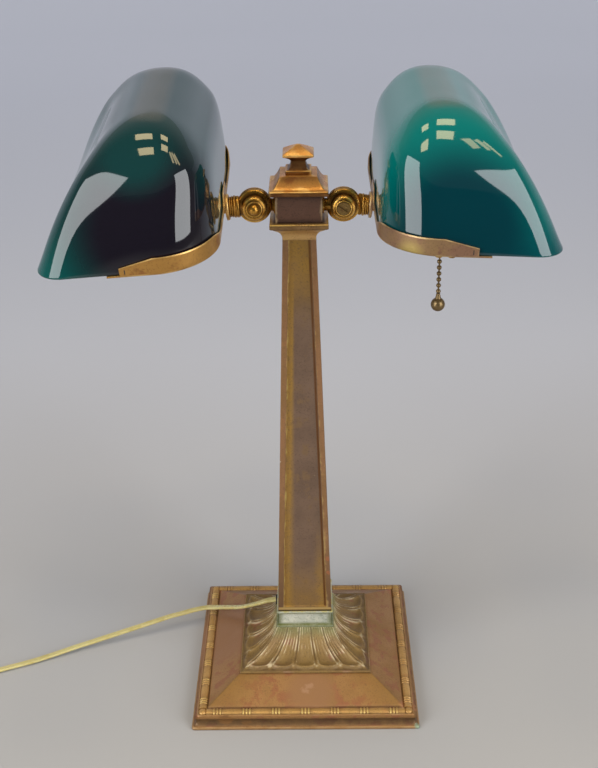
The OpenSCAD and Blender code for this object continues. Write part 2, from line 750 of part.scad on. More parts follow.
// Rim from the front end to the far end, along the outer side and along the inner side
function outer_rim(d) = let (hl = shade_l / 2 - d, r = outer_corner_r - d, p = spine_p + flank_out(d),
        front = [spine_p, -hl], c = [p - r, r - hl])
    concat([front], line_points(front, [c[0], -hl], end_segs), arc_points(c, r, -90, 0, corner_segs),
        line_points([p, c[1]], [p, -c[1]], side_segs), arc_points([c[0], -c[1]], r, 0, 90, corner_segs),
        line_points([c[0], hl], [spine_p, hl], end_segs));
function inner_rim(d) = let (hl = shade_l / 2 - d, r = inner_corner_r - d, p = shade_gap + d,
        front = [spine_p, -hl], c = [p + r, r - hl], n = corner_segs + end_segs - 1)
    concat([front, [c[0], -hl]], arc_points(c, r, 270, 180, n),
        line_points([p, c[1]], [p, -c[1]], side_segs),
        arc_points([c[0], -c[1]], r, 180, 90, n), [[spine_p, hl]]);
function shade_point(rim, t, d) =
    let (spine_hl = shade_l / 2 - end_l, q = max(-spine_hl, min(spine_hl, rim[1])), out = rim - [spine_p, q],
        is_out = out[0] >= 0, dx = abs(out[0]) / (is_out ? flank_out(d) : crown_r - d),
        dy = abs(out[1]) / (end_l - d), w = dy * dy / (dx * dx + dy * dy),
        side = is_out ? outer_section(t, d) : inner_section(t, d),
        both = side * (1 - w) + end_section(t, d) * w)
    [spine_p + out[0] * both[0], q + out[1] * both[0], both[1]];
module glass_body() {
    m = side_segs + 2 * corner_segs + 2 * end_segs;
    n = 2 * m;
    // A ring runs out along the outer side and back along the inner side
    function ring(t, d) = let (a = outer_rim(d), b = inner_rim(d))
        concat([for (k = [0 : m]) shade_point(a[k], t, d)],
            [for (k = [m - 1 : -1 : 1]) shade_point(b[k], t, d)]);
    rows = shade_rows;
    skin = [for (i = [0 : rows]) ring(crown_stop * i / rows, 0)];
    lining = [for (i = [rows : -1 : 0]) ring(crown_stop * i / rows, glass_t)];
    // The top is closed across, from the outer side's points to the inner side's
    function over(e) = [for (k = [0 : m - 1])
        let (a = e + k, b = e + k + 1, c = e + n - k - 1, f = e + (n - k) % n)
        each k == 0 ? [[a, b, c]] : k == m - 1 ? [[a, b, f]] : [[a, b, c], [a, c, f]]];
    function flipped(faces) = [for (f = faces) [f[0], f[2], f[1]]];
    faces = concat([for (i = [0 : rows - 1]) each band(i, i + 1, n)], over(rows * n),
        [for (i = [rows + 1 : 2 * rows]) each band(i, i + 1, n)], flipped(over((rows + 1) * n)),
        band(2 * rows + 1, 0, n));
    polyhedron([for (r = concat(skin, lining)) each r], flipped(faces), convexity = 10);
}
module shade(s) {
    color("#0b5a57") on_holder(s) translate([0, 0, glass_r]) glass_body();
}

// Socket, carried on an ear of the bracket under the flange
module bracket(s) {
    foot_q = -shade_l / 2 + glass_t;
    ear_top = socket_axis_r + nipple_r + 4;
    color("#8f7440") on_holder(s) difference() {
        union() {
            translate([socket_p - strap_w / 2, foot_q, flange_r - strap_t])
                cube([strap_w, -ear_q - foot_q, strap_t]);
            translate([socket_p - strap_w / 2, -ear_q - strap_t, flange_r - strap_t])
                cube([strap_w, strap_t, ear_top - flange_r + strap_t]);
        }
        translate([socket_p, 0, socket_axis_r]) along_y(-shade_l, 0, nipple_r + seat_fit);
        on_rivets() cylinder(r = rivet_r + 0.05, h = 4 * strap_t, center = true);
    }
}
module on_rivets() {
    q = (flange_w + glass_t - shade_l) / 2;
    for (m = [-1, 1]) translate([socket_p + m * strap_w / 4, q, flange_r]) children();
}
module rivets(s) {
    color("#a9862f") on_holder(s) on_rivets() translate([0, 0, -strap_t - rivet_head_t]) {
        cylinder(r = rivet_head_r, h = rivet_head_t);
        cylinder(r = rivet_r, h = rivet_head_t + strap_t);
    }
}
module on_socket(s) {
    on_holder(s) translate([socket_p, 0, socket_axis_r]) children();
}
module socket_cap(s) {
    section = concat([[0, -ear_q], [hub_r, -ear_q], [hub_r, -ear_q + hub_l]],
        [for (i = [0 : 6]) let (a = 15 * i) [hub_r + (socket_r - hub_r) * sin(a),
            socket_q - (dome_l - dome_edge) * cos(a)]], [[0, socket_q]]);
    color("#b08c3e") on_socket(s) {
        rotate([-90, 0, 0]) rotate_extrude() polygon(section);
        along_y(-ear_q - strap_t - socket_nut_t - 1.5, -ear_q, nipple_r);
    }
}
module socket_nut(s) {
    color("#a9862f") on_socket(s) translate([0, -ear_q - strap_t, 0]) rotate([90, 0, 0]) difference() {
        cylinder(r = nipple_r * 1.6, h = socket_nut_t, $fn = 6);
        translate([0, 0, -1]) cylinder(r = nipple_r + 0.02, h = socket_nut_t + 2);
    }
}
module socket_shell(s) {
    guide_drop = socket_axis_r - guide_end_r;
    color("#b08c3e") on_socket(s) difference() {
        union() {
            along_y(socket_q, socket_end_q, socket_r);
            translate([0, chain_q, -guide_drop]) cylinder(r = guide_r, h = guide_drop);
        }
        along_y(socket_q - 1, socket_end_q + 1, socket_r - socket_t);
        translate([0, chain_q, -guide_drop - 1]) cylinder(r = stem_r + run_fit, h = guide_drop);
    }
}
module socket_core(s) {
    color("#e8e2d2") on_socket(s) difference() {
        along_y(socket_q, socket_end_q - socket_mouth_l, core_r);
        along_y(core_bore_q, socket_end_q + 1, cap_r + seat_fit);
        translate([0, chain_q, -socket_r])
            cylinder(r = stem_r + 2 * seat_fit, h = stem_top_r + socket_r - socket_axis_r + 1);
    }
}
module bulb_cap(s) {
    rib = 0.5;
    pitch = 3.6;
    ribs = floor((cap_l - 5) / pitch);
    start = core_bore_q + 2;
    contact_r = 4;
    section = concat([[0, core_bore_q + seat_fit], [contact_r, core_bore_q + seat_fit], [cap_r - 3, start]],
        [for (i = [0 : ribs - 1]) each [[cap_r - rib, start + 2 + i * pitch],
            [cap_r, start + 2 + (i + 0.5) * pitch]]],
        [[cap_r - rib, start + 2 + ribs * pitch], [cap_r - rib, start + cap_l], [0, start + cap_l]]);
    color("#c9c3b0") on_socket(s) rotate([-90, 0, 0]) rotate_extrude() polygon(section);
}
module bulb_glass(s) {
    start = core_bore_q + 2 + cap_l;
    neck = cap_r - 1;
    neck_l = 4;
    swell_l = 12;
    skin = 0.9;
    tip = start + bulb_l - bulb_r;
    function bulb_section(d) = concat([[neck - d, start], [neck - d, start + neck_l],
            [bulb_r - d, start + neck_l + swell_l]],
        [for (i = [0 : 8]) let (a = 90 * i / 8) [(bulb_r - d) * cos(a), tip + (bulb_r - d) * sin(a)]]);
    lining = bulb_section(skin);
    color("#f2ead8") on_socket(s) rotate([-90, 0, 0]) rotate_extrude()
        polygon(concat(bulb_section(0), [for (i = [len(lining) - 1 : -1 : 0]) lining[i]]));
}
module lead(s) {
    lead_r = 1.5;
    start = [stud_end_p + 0.4, 0, 0];
    // The lead stops at the widest point that it meets on the cap's dome
    meet = acos((dome_l / 2 - lead_r) / (dome_l - dome_edge));
    cap_out = hub_r + (socket_r - hub_r) * sin(meet);
    end = [socket_p - cap_out - seat_fit, socket_q - dome_l / 2, socket_axis_r];
    // From the stud's mouth along the inside of the wall and into the side of the socket's cap
    route = [start, start + [2.5, 0, 0], start + [5, -1.5, 0.5], start + [7, -5, 2], start + [8.5, -12, 5],
        start + [9.5, -22, 9], start + [10, -34, 14], start + [10, -46, 19], start + [10, -58, 24],
        start + [10, -68, 27], end + [-7, 6, 0], end + [-5, 1.8, 0], end + [-2.5, 0, 0], end];
    color("#c8a24a") on_holder(s) tube(route, lead_r, lead_r, [for (p = route) 0], 8);
}

// Pull switch and its bead chain, which hangs straight down at rest
module pull_stem(s) {
    color("#a98a45") on_holder(s) translate([socket_p, chain_q, stem_end_r]) {
        cylinder(r = stem_r, h = stem_top_r - stem_end_r);
        sphere(r = stem_eye_r);
    }
}
module chain(s) {
    first = stem_eye_r + chain_link_gap + chain_r;
    drop = first + (chain_beads - 1) * chain_pitch;
    bell_l = 4;
    ball_z = drop + chain_r + bell_l + ball_d / 2 - 1;
    color("#b5924a") translate(placed(s, [socket_p, chain_q, stem_end_r])) {
        for (i = [0 : chain_beads - 1]) translate([0, 0, -first - i * chain_pitch]) sphere(r = chain_r);
        translate([0, 0, -ball_z]) cylinder(r = chain_r * 0.35, h = ball_z - first);
        translate([0, 0, -drop - chain_r - bell_l])
            cylinder(r1 = chain_r * 1.3, r2 = chain_r * 0.8, h = bell_l);
        translate([0, 0, -ball_z]) sphere(r = ball_d / 2);
    }
}

// Cord: from the collar over the moulding and down to the table, then into its coil
cord_route = [[-24, 4, 56], [-31, 4, 55], [-38, 6, 51], [-46, 11, 45], [-54, 18, 38], [-62, 27, 31],
    [-70, 35, 25], [-78, 41, 20.5], [-87, 44, 18], [-97, 43, 16.5], [-107, 40, 15.4], [-118, 37, 14.2],
    [-129, 33, 12.8], [-140, 29, 11.4], [-151, 25, 10], [-162, 21, 8.6], [-173, 17, 7.2], [-184, 13, 5.8],
    [-195, 9, 4.6], [-206, 4, 3.6], [-217, -1, 2.8], [-228, -6, 2.2], [-240, -11, 2], [-252, -16, 2],
    [-264, -21, 2], [-276, -25, 2.2], [-288, -29, 2.8], [-299, -32, 3.4], [-309, -35, 4], [-315, -37, 4]];
upright_from = 24;
cord_end = cord_route[len(cord_route) - 1];
cord_dir = unit([cord_end[0] - cord_route[len(cord_route) - 2][0],
    cord_end[1] - cord_route[len(cord_route) - 2][1], 0]);
loop_rings = 24;
layer_step = cord_w + 0.6;
coil_z = cord_end[2];
coil_in_r = coil_r - coil_pitch * coil_turns;
coil_total = 2 * coil_turns + 0.5;
coil_mid = cord_end + coil_r * [cord_dir[1], -cord_dir[0], 0];
coil_a0 = atan2(cord_dir[0], -cord_dir[1]);
function coil_radius(u) = u < coil_turns ? coil_r - coil_pitch * u :
    u < coil_turns + 0.5 ? coil_in_r : coil_in_r + coil_pitch * (u - coil_turns - 0.5);
function coil_lift(u) = layer_step * bump(max(0, min(1, 2 * (u - coil_turns))));
function coil_point(u) = let (a = coil_a0 - 360 * u)
    coil_mid + [coil_radius(u) * cos(a), coil_radius(u) * sin(a), coil_lift(u)];
coil_count = round(coil_total * loop_rings);
coil_path = [for (i = [0 : coil_count]) coil_point(coil_total * i / coil_count)];
tail_start = coil_path[coil_count];
tail_dir = path_dir(coil_path, coil_count);
tail_run = 26;
plug_z = plug_h / 2 + 0.2;
tail_end = [tail_start[0] + tail_dir[0] * tail_run, tail_start[1] + tail_dir[1] * tail_run, plug_z];
module cord() {
    rolls = [for (i = [0 : len(cord_route) - 1]) 90 * bump(max(0, min(1, (i - upright_from) / 5)))];
    tail = [for (i = [0 : 5]) let (u = i / 5, p = tail_start + (tail_end - tail_start) * u)
        [p[0], p[1], tail_start[2] + (plug_z - tail_start[2]) * bump(u)]];
    color("#b59a4a") {
        tube(cord_route, cord_w / 2, cord_t / 2, rolls, 8);
        tube(tail, cord_w / 2, cord_t / 2, [for (p = tail) 90], 8);
    }
}
module cord_coil() {
    color("#b59a4a") tube(coil_path, cord_w / 2, cord_t / 2, [for (p = coil_path) 90], 6);
}
// The tie goes round all the turns on the far side of the coil from the plug
module cord_tie() {
    tie_t = 0.8;
    tie_w = 8;
    room = 0.5;
    in_hw = (coil_r - coil_in_r + cord_t) / 2 + room + coil_pitch / 4;
    in_h = layer_step + cord_w + 2 * room;
    mid_r = (coil_r + coil_in_r) / 2;
    low_z = coil_z - cord_w / 2 - room;
    tie_angle = 100;
    color("#3b3328") translate([coil_mid[0], coil_mid[1], 0]) rotate([0, 0, tie_angle])
        translate([mid_r, tie_w / 2, low_z]) rotate([90, 0, 0]) linear_extrude(tie_w) difference() {
            translate([-in_hw - tie_t, -tie_t]) square([2 * (in_hw + tie_t), in_h + 2 * tie_t]);
            translate([-in_hw, 0]) square([2 * in_hw, in_h]);
        }
}
module on_plug() {
    translate(tail_end) rotate([0, 0, atan2(tail_dir[1], tail_dir[0])]) children();
}
module plug_body() {
    corner = 4;
    shoulder = 8;
    color("#4a3524") on_plug() translate([0, 0, -plug_h / 2]) linear_extrude(plug_h) {
        polygon([[0, -corner], [shoulder, -plug_w / 2], [plug_l - corner, -plug_w / 2],
            [plug_l - corner, plug_w / 2], [shoulder, plug_w / 2], [0, corner]]);
        translate([shoulder, corner - plug_w / 2]) square([plug_l - shoulder, plug_w - 2 * corner]);
        for (m = [-1, 1]) translate([plug_l - corner, m * (plug_w / 2 - corner)]) circle(r = corner);
    }
}
module plug_blades() {
    blade = [16, 1.5, 6.3];
    spread = 12.7;
    color("#b8a56a") on_plug() for (m = [-1, 1])
        translate([plug_l, m * spread / 2 - blade[1] / 2, -blade[2] / 2]) cube(blade);
}

// Length of the cord and the coil's least gap to itself, measured on its points
function path_length(path) = [for (i = 1, total = 0; i <= len(path); total = total +
    (i < len(path) ? norm(path[i] - path[i - 1]) : 0), i = i + 1) total][len(path) - 1];
coil_rings = [for (i = [0 : coil_count])
    tube_ring(coil_path[i], path_dir(coil_path, i), cord_w / 2, cord_t / 2, 90, 6)];
coil_gap = min([for (i = [0 : coil_count], j = [i + loop_rings / 2 : coil_count])
    if (norm(coil_path[i] - coil_path[j]) < 2.2 * cord_w)
        min([for (a = coil_rings[i], b = coil_rings[j]) norm(a - b)])]);
echo(cord_length = path_length(cord_route) + path_length(coil_path) + norm(tail_end - tail_start),
    coil_gap = coil_gap);

felt_pad();
base_shell();
bead_moulding();
base_weight();
leaf_skirt();
foot_collar();
column();
capital();
head_box();
roof_cap();
finial();
tie_rod();
rod_nut();
rod_washer();
cord_bushing();
riser_wires();
arm(1);  // right_arm
arm(-1);  // left_arm
arm_nuts();
pivot_screws();
pivot_nuts();
friction_washers();
knuckle(1);  // right_knuckle
knuckle(-1);  // left_knuckle
neck_rings(1);  // right_neck_rings
neck_rings(-1);  // left_neck_rings
neck_nut(1);  // right_neck_nut
neck_nut(-1);  // left_neck_nut
holder(1);  // right_holder
holder(-1);  // left_holder
shade(1);  // right_shade
shade(-1);  // left_shade
bracket(1);  // right_bracket
bracket(-1);  // left_bracket
rivets(1);  // right_rivets
rivets(-1);  // left_rivets
socket_cap(1);  // right_socket_cap
socket_cap(-1);  // left_socket_cap
socket_nut(1);  // right_socket_nut
socket_nut(-1);  // left_socket_nut
socket_shell(1);  // right_socket_shell
socket_shell(-1);  // left_socket_shell
socket_core(1);  // right_socket_core
socket_core(-1);  // left_socket_core
bulb_glass(1);  // right_bulb_glass
bulb_glass(-1);  // left_bulb_glass
bulb_cap(1);  // right_bulb_cap
bulb_cap(-1);  // left_bulb_cap
lead(1);  // right_lead
lead(-1);  // left_lead
pull_stem(1);  // right_pull_stem
pull_stem(-1);  // left_pull_stem
chain(1);  // right_chain
chain(-1);  // left_chain
cord();
cord_coil();
cord_tie();
plug_body();
plug_blades();
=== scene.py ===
import json
from math import atan2, copysign, cos, exp, hypot, pi, radians, sin, sqrt, tan

import bmesh
import bpy
import numpy as np
from mathutils import Matrix, Vector
from mathutils.bvhtree import BVHTree


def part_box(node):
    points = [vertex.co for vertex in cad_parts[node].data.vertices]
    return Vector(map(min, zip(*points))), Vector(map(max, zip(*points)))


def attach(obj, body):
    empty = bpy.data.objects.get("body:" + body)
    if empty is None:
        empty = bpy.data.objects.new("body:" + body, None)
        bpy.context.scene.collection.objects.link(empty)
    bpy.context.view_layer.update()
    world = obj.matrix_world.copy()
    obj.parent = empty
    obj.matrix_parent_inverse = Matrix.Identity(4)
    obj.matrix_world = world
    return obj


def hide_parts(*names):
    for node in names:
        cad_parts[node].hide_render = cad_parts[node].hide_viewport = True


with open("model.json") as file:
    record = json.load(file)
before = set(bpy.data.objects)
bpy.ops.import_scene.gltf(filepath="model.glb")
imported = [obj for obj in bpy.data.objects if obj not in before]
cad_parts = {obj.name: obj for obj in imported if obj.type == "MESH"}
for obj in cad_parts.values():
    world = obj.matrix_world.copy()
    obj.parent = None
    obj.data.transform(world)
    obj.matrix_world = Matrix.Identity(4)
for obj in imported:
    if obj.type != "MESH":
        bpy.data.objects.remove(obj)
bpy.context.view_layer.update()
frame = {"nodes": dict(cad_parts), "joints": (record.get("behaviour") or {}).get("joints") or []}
scene = bpy.context.scene
scene.view_settings.view_transform = "Standard"
nodes = frame["nodes"]
hinges = {j["name"]: j for j in frame["joints"]}
mm = 0.001


class Look(dict):
    # what a user would change about a piece; its values are read as look.name
    __getattr__ = dict.__getitem__


def linked(name, data):
    obj = bpy.data.objects.new(name, data)
    scene.collection.objects.link(obj)
    return obj


# camera, from the photograph's own view
cameraLook = Look(place=(0.009, -0.807, 0.658), yaw=-0.78, pitch=26.42, roll=-0.93, lens=56.25)


def setCamera(look):
    yaw, pitch, roll = (radians(look[k]) for k in ("yaw", "pitch", "roll"))
    ahead = Vector((sin(yaw) * cos(pitch), cos(yaw) * cos(pitch), -sin(pitch)))
    across = Vector((cos(yaw), -sin(yaw), 0))
    above = across.cross(ahead)
    side = across * cos(roll) + above * sin(roll)
    top = above * cos(roll) - across * sin(roll)
    data = bpy.data.cameras.new("photoCamera")
    data.lens, data.sensor_width = look.lens, 36
    data.clip_start, data.clip_end = 0.05, 60
    camera = linked("photoCamera", data)
    camera.matrix_world = Matrix.Translation(look.place) @ Matrix((side, top, -ahead)).transposed().to_4x4()
    scene.camera = camera


setCamera(cameraLook)
print("camera set")


# small helpers for shapes, all in millimetres until a piece is made
def tone(color):
    # linear light from a screen colour of 0 to 255
    def lin(c):
        c /= 255
        return c / 12.92 if c < 0.04045 else ((c + 0.055) / 1.055) ** 2.4
    return (*(lin(c) for c in color), 1)


def ease(u):
    u = max(0.0, min(1.0, u))
    return u * u * (3 - 2 * u)


def loft(loops, joined=False, capped=True):
    # rings of equal count become quads, with the end rings capped
    n, faces = len(loops[0]), []
    last = len(loops) if joined else len(loops) - 1
    for i in range(last):
        a, b = i * n, ((i + 1) % len(loops)) * n
        for k in range(n):
            j = (k + 1) % n
            faces.append((a + k, a + j, b + j, b + k))
    if capped and not joined:
        faces.append(tuple(range(n - 1, -1, -1)))
        faces.append(tuple(range((len(loops) - 1) * n, len(loops) * n)))
    return solid([p for ring in loops for p in ring], faces)


def solid(points, faces, kinds=None):
    # points are (x, y, z, wear and painted highlight, grime and painted shade, tint); what a point leaves out is 0
    points = [(*p, 0.0, 0.0, 0.0)[:6] for p in points]
    return {"points": points, "faces": faces, "kinds": kinds or [0] * len(faces)}


def merged(*shapes):
    out = {"points": [], "faces": [], "kinds": []}
    for s in shapes:
        base = len(out["points"])
        out["points"] += s["points"]
        out["faces"] += [tuple(i + base for i in f) for f in s["faces"]]
        out["kinds"] += s["kinds"]
    return out


def turned(shape, matrix):
    return {**shape, "points": [(*(matrix @ Vector(p[:3])), *p[3:]) for p in shape["points"]]}


def around(r, n, z):
    return [(r * cos(2 * pi * k / n), r * sin(2 * pi * k / n), z) for k in range(n)]


def quarter(x, y, q):
    # q quarter turns about Z
    a = q * pi / 2
    return x * cos(a) - y * sin(a), x * sin(a) + y * cos(a)


def lathe(profile, segs=40):
    # profile of (radius, height, wear and painted highlight, grime and painted shade) about Z
    return loft([[(*p, *marks) for p in around(max(r, 0.005), segs, z)] for r, z, *marks in profile])


def squareCasting(profile, corner=0.8, cornerWear=1.0, cornerGrime=0.0, cuts=2, paint=None):
    # profile of (half width, height, wear and painted highlight, grime and painted shade, corner); paint gives the
    # second tone at a point
    loops = []
    for row in profile:
        hw, z, wearAndHighlight, grime, bend = row + (0.0, 0.0, corner)[len(row) - 2:]
        bend = min(bend, hw * 0.45)
        flat = hw - bend
        inner = max(flat - 3.0, flat * 0.5)
        side = [(inner * (2 * k / cuts - 1), -hw, wearAndHighlight, grime) for k in range(cuts + 1)]
        for k in range(5):
            b = -pi / 2 + k * pi / 8
            side.append((flat + bend * cos(b), -flat + bend * sin(b), max(wearAndHighlight, cornerWear), max(grime, cornerGrime)))
        ring = [(*quarter(x, y, q), z, w, g) for q in range(4) for x, y, w, g in side]
        loops.append([(*p, paint(*p[:3])) for p in ring] if paint else ring)
    return loft(loops)


routeSteps = 3


def eased(route):
    # a smooth line through given points
    pts = [Vector(p) for p in route]
    path = []
    for i in range(len(pts) - 1):
        a, b = pts[max(i - 1, 0)], pts[i]
        c, d = pts[i + 1], pts[min(i + 2, len(pts) - 1)]
        for k in range(routeSteps):
            u = k / routeSteps
            square, cube = 2 * a - 5 * b + 4 * c - d, 3 * b - a - 3 * c + d
            path.append(0.5 * (2 * b + (c - a) * u + square * u * u + cube * u ** 3))
    return path + [pts[-1]]


def tubeLoops(path, section, rolls):
    # section points (wide, thin) are carried along the path, wide side level at roll 0
    loops = []
    for i, c in enumerate(path):
        ahead = (path[min(i + 1, len(path) - 1)] - path[max(i - 1, 0)]).normalized()
        side = Vector((0, 0, 1)).cross(ahead).normalized()
        up = ahead.cross(side)
        a = radians(rolls[i])
        wide = side * cos(a) + up * sin(a)
        thin = up * cos(a) - side * sin(a)
        loops.append([tuple(c + wide * w + thin * t) for w, t in section])
    return loops


def meshed(name, shape, skins):
    mesh = bpy.data.meshes.new(name)
    mesh.from_pydata([(x * mm, y * mm, z * mm) for x, y, z, *_ in shape["points"]], [], shape["faces"])
    for skin in skins:
        mesh.materials.append(skin)
    mesh.polygons.foreach_set("use_smooth", [True] * len(mesh.polygons))
    return linked(name, mesh)


def piece(name, shape, skins, body, instead=(), sharp=50):
    obj = meshed(name, shape, skins)
    mesh = obj.data
    mesh.polygons.foreach_set("material_index", shape["kinds"])
    # the wear channel also carries painted highlights, and the grime channel painted shade
    for k, key in enumerate(("wearAndHighlight", "grime", "tint"), 3):
        mesh.attributes.new(key, "FLOAT", "POINT").data.foreach_set("value", [p[k] for p in shape["points"]])
    work = bmesh.new()
    work.from_mesh(mesh)
    bmesh.ops.recalc_face_normals(work, faces=work.faces)
    work.to_mesh(mesh)
    work.free()
    if sharp:
        mesh.set_sharp_from_angle(angle=radians(sharp))
    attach(obj, body)
    if instead:
        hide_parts(*instead)
    return obj


# material helpers: every finish is made of noise in the piece's own space
class Skin:
    def __init__(self, name, world=None):
        self.mat = world or bpy.data.materials.new(name)
        self.mat.use_nodes = True
        self.tree = self.mat.node_tree
        self.shader = self.tree.nodes["Background" if world else "Principled BSDF"]
        self.coord = self.add("TexCoord").outputs["Generated" if world else "Object"]

    def feed(self, socket, value):
        if hasattr(value, "is_output"):
            self.tree.links.new(value, socket)
        else:
            socket.default_value = value

    def put(self, key, value):
        self.feed(self.shader.inputs[key], value)

    def add(self, kind, feeds=None):
        node = self.tree.nodes.new("ShaderNode" + kind)
        for key, value in (feeds or {}).items():
            self.feed(node.inputs[key], value)
        return node

    def axes(self, source=None):
        return self.add("SeparateXYZ", {"Vector": source or self.coord}).outputs

    def noise(self, scale, detail=4, rough=0.55, stretch=(1, 1, 1), shift=0.0):
        place = {"Vector": self.coord, "Location": (shift, shift * 0.7, shift * 0.3), "Scale": stretch}
        feeds = {"Vector": self.add("Mapping", place).outputs["Vector"], "Scale": scale, "Detail": detail,
                 "Roughness": rough}
        return self.add("TexNoise", feeds).outputs["Fac"]

    def spread(self, source, lo, hi, outLo=0.0, outHi=1.0):
        feeds = {"Value": source, "From Min": lo, "From Max": hi, "To Min": outLo, "To Max": outHi}
        node = self.add("MapRange", feeds)
        node.interpolation_type = "SMOOTHSTEP"
        return node.outputs["Result"]

    def maths(self, kind, a, b):
        node = self.add("Math", {0: a, 1: b})
        node.operation = kind
        return node.outputs[0]

    def mix(self, share, a, b):
        node = self.add("Mix")
        node.data_type = "RGBA"
        for k, v in ((0, share), (6, a), (7, b)):
            self.feed(node.inputs[k], tone(v) if isinstance(v, tuple) else v)
        return node.outputs[2]

    def attribute(self, key):
        node = self.add("Attribute")
        node.attribute_name = key
        return node.outputs["Fac"]

    def near(self, place, reach, ragged=None):
        # 1 at a place in millimetres, fading out at its reach, with a ragged edge where a noise is given
        node = self.add("VectorMath", {0: self.coord, 1: [c * mm for c in place]})
        node.operation = "DISTANCE"
        away = node.outputs["Value"]
        if ragged:
            away = self.maths("ADD", away, self.spread(ragged, 0.3, 0.7, -0.6 * reach * mm, 0.6 * reach * mm))
        return self.spread(away, 0.4 * reach * mm, reach * mm, 1.0, 0.0)

    def bump(self, height, strength, distance):
        node = self.add("Bump", {"Height": height, "Strength": strength, "Distance": distance})
        self.put("Normal", node.outputs["Normal"])


agedDefaults = Look(
    cloud=45, patchScale=90, patchFrom=0.56, speckScale=700, speckShare=0.6, wearShare=0.85, metal=0.55,
    rough=(0.36, 0.56), bump=0.25, seed=0.0, stains=())
plainDefaults = Look(grain=1500, stretch=(1, 1, 1), grainShare=0.3, rough=(0.4, 0.55), bump=0.15)


def agedMetal(name, look):
    # patina in large clouds, copper patches, a painted second tone, fine specks, worn edges with painted highlights,
    # dirt with painted shade in the hollows
    look = Look(agedDefaults, **look)
    s, seed = Skin(name), look.seed
    clouds = s.noise(look.cloud, 5, 0.6, shift=seed)
    patches = s.noise(look.patchScale, 4, 0.6, shift=seed + 3)
    specks = s.noise(look.speckScale, 3, 0.7, shift=seed + 7)
    fine = s.noise(1800, 2, 0.5, shift=seed + 11)
    color = s.mix(s.spread(clouds, 0.38, 0.64), look.base, look.second)
    color = s.mix(s.spread(patches, look.patchFrom, look.patchFrom + 0.12), color, look.patch)
    if "tint" in look:
        painted = s.maths("MULTIPLY", s.attribute("tint"), s.spread(patches, 0.25, 0.6, 0.7, 1.0))
        color = s.mix(painted, color, look.tint)
    color = s.mix(s.maths("MULTIPLY", s.spread(specks, 0.52, 0.7), look.speckShare), color, look.speck)
    # dirt and painted shade: darker where the grime channel is set
    dirtAndShade = s.maths("MULTIPLY", s.attribute("grime"), s.spread(patches, 0.3, 0.6, 0.75, 1.0))
    color = s.mix(dirtAndShade, color, look.grime)
    # worn edges and painted highlights: lighter where the wear channel is set
    ragged = s.maths("ADD", s.attribute("wearAndHighlight"), s.spread(patches, 0.3, 0.7, -0.45, 0.25))
    color = s.mix(s.spread(ragged, 0.35, 0.95, 0.0, look.wearShare), color, look.worn)
    for place, reach, patchTone in look.stains:
        color = s.mix(s.near(place, reach, patches if reach < 15 else None), color, patchTone)
    s.put("Base Color", color)
    s.put("Metallic", look.metal)
    s.put("Roughness", s.spread(s.maths("ADD", clouds, s.maths("MULTIPLY", specks, 0.4)), 0.5, 0.9, *look.rough))
    s.bump(s.maths("ADD", specks, s.maths("MULTIPLY", fine, 0.4)), look.bump, 0.0004)
    return s.mat


def plainFinish(name, look):
    # moulded or drawn goods: a body colour, a second tone in clouds, fine grain
    look = Look(plainDefaults, **look)
    s = Skin(name)
    clouds = s.noise(80, 4, 0.55)
    grain = s.noise(look.grain, 2, 0.5, stretch=look.stretch)
    color = s.mix(s.spread(clouds, 0.35, 0.7), look.base, look.second)
    color = s.mix(s.maths("MULTIPLY", s.spread(grain, 0.5, 0.75), look.grainShare), color, look.speck)
    s.put("Base Color", color)
    s.put("Roughness", s.spread(clouds, 0.3, 0.7, *look.rough))
    s.bump(grain, look.bump, 0.0003)
    return s.mat


def dress(skin, *names):
    for name in names:
        for holder in nodes[name].material_slots:
            holder.material = skin


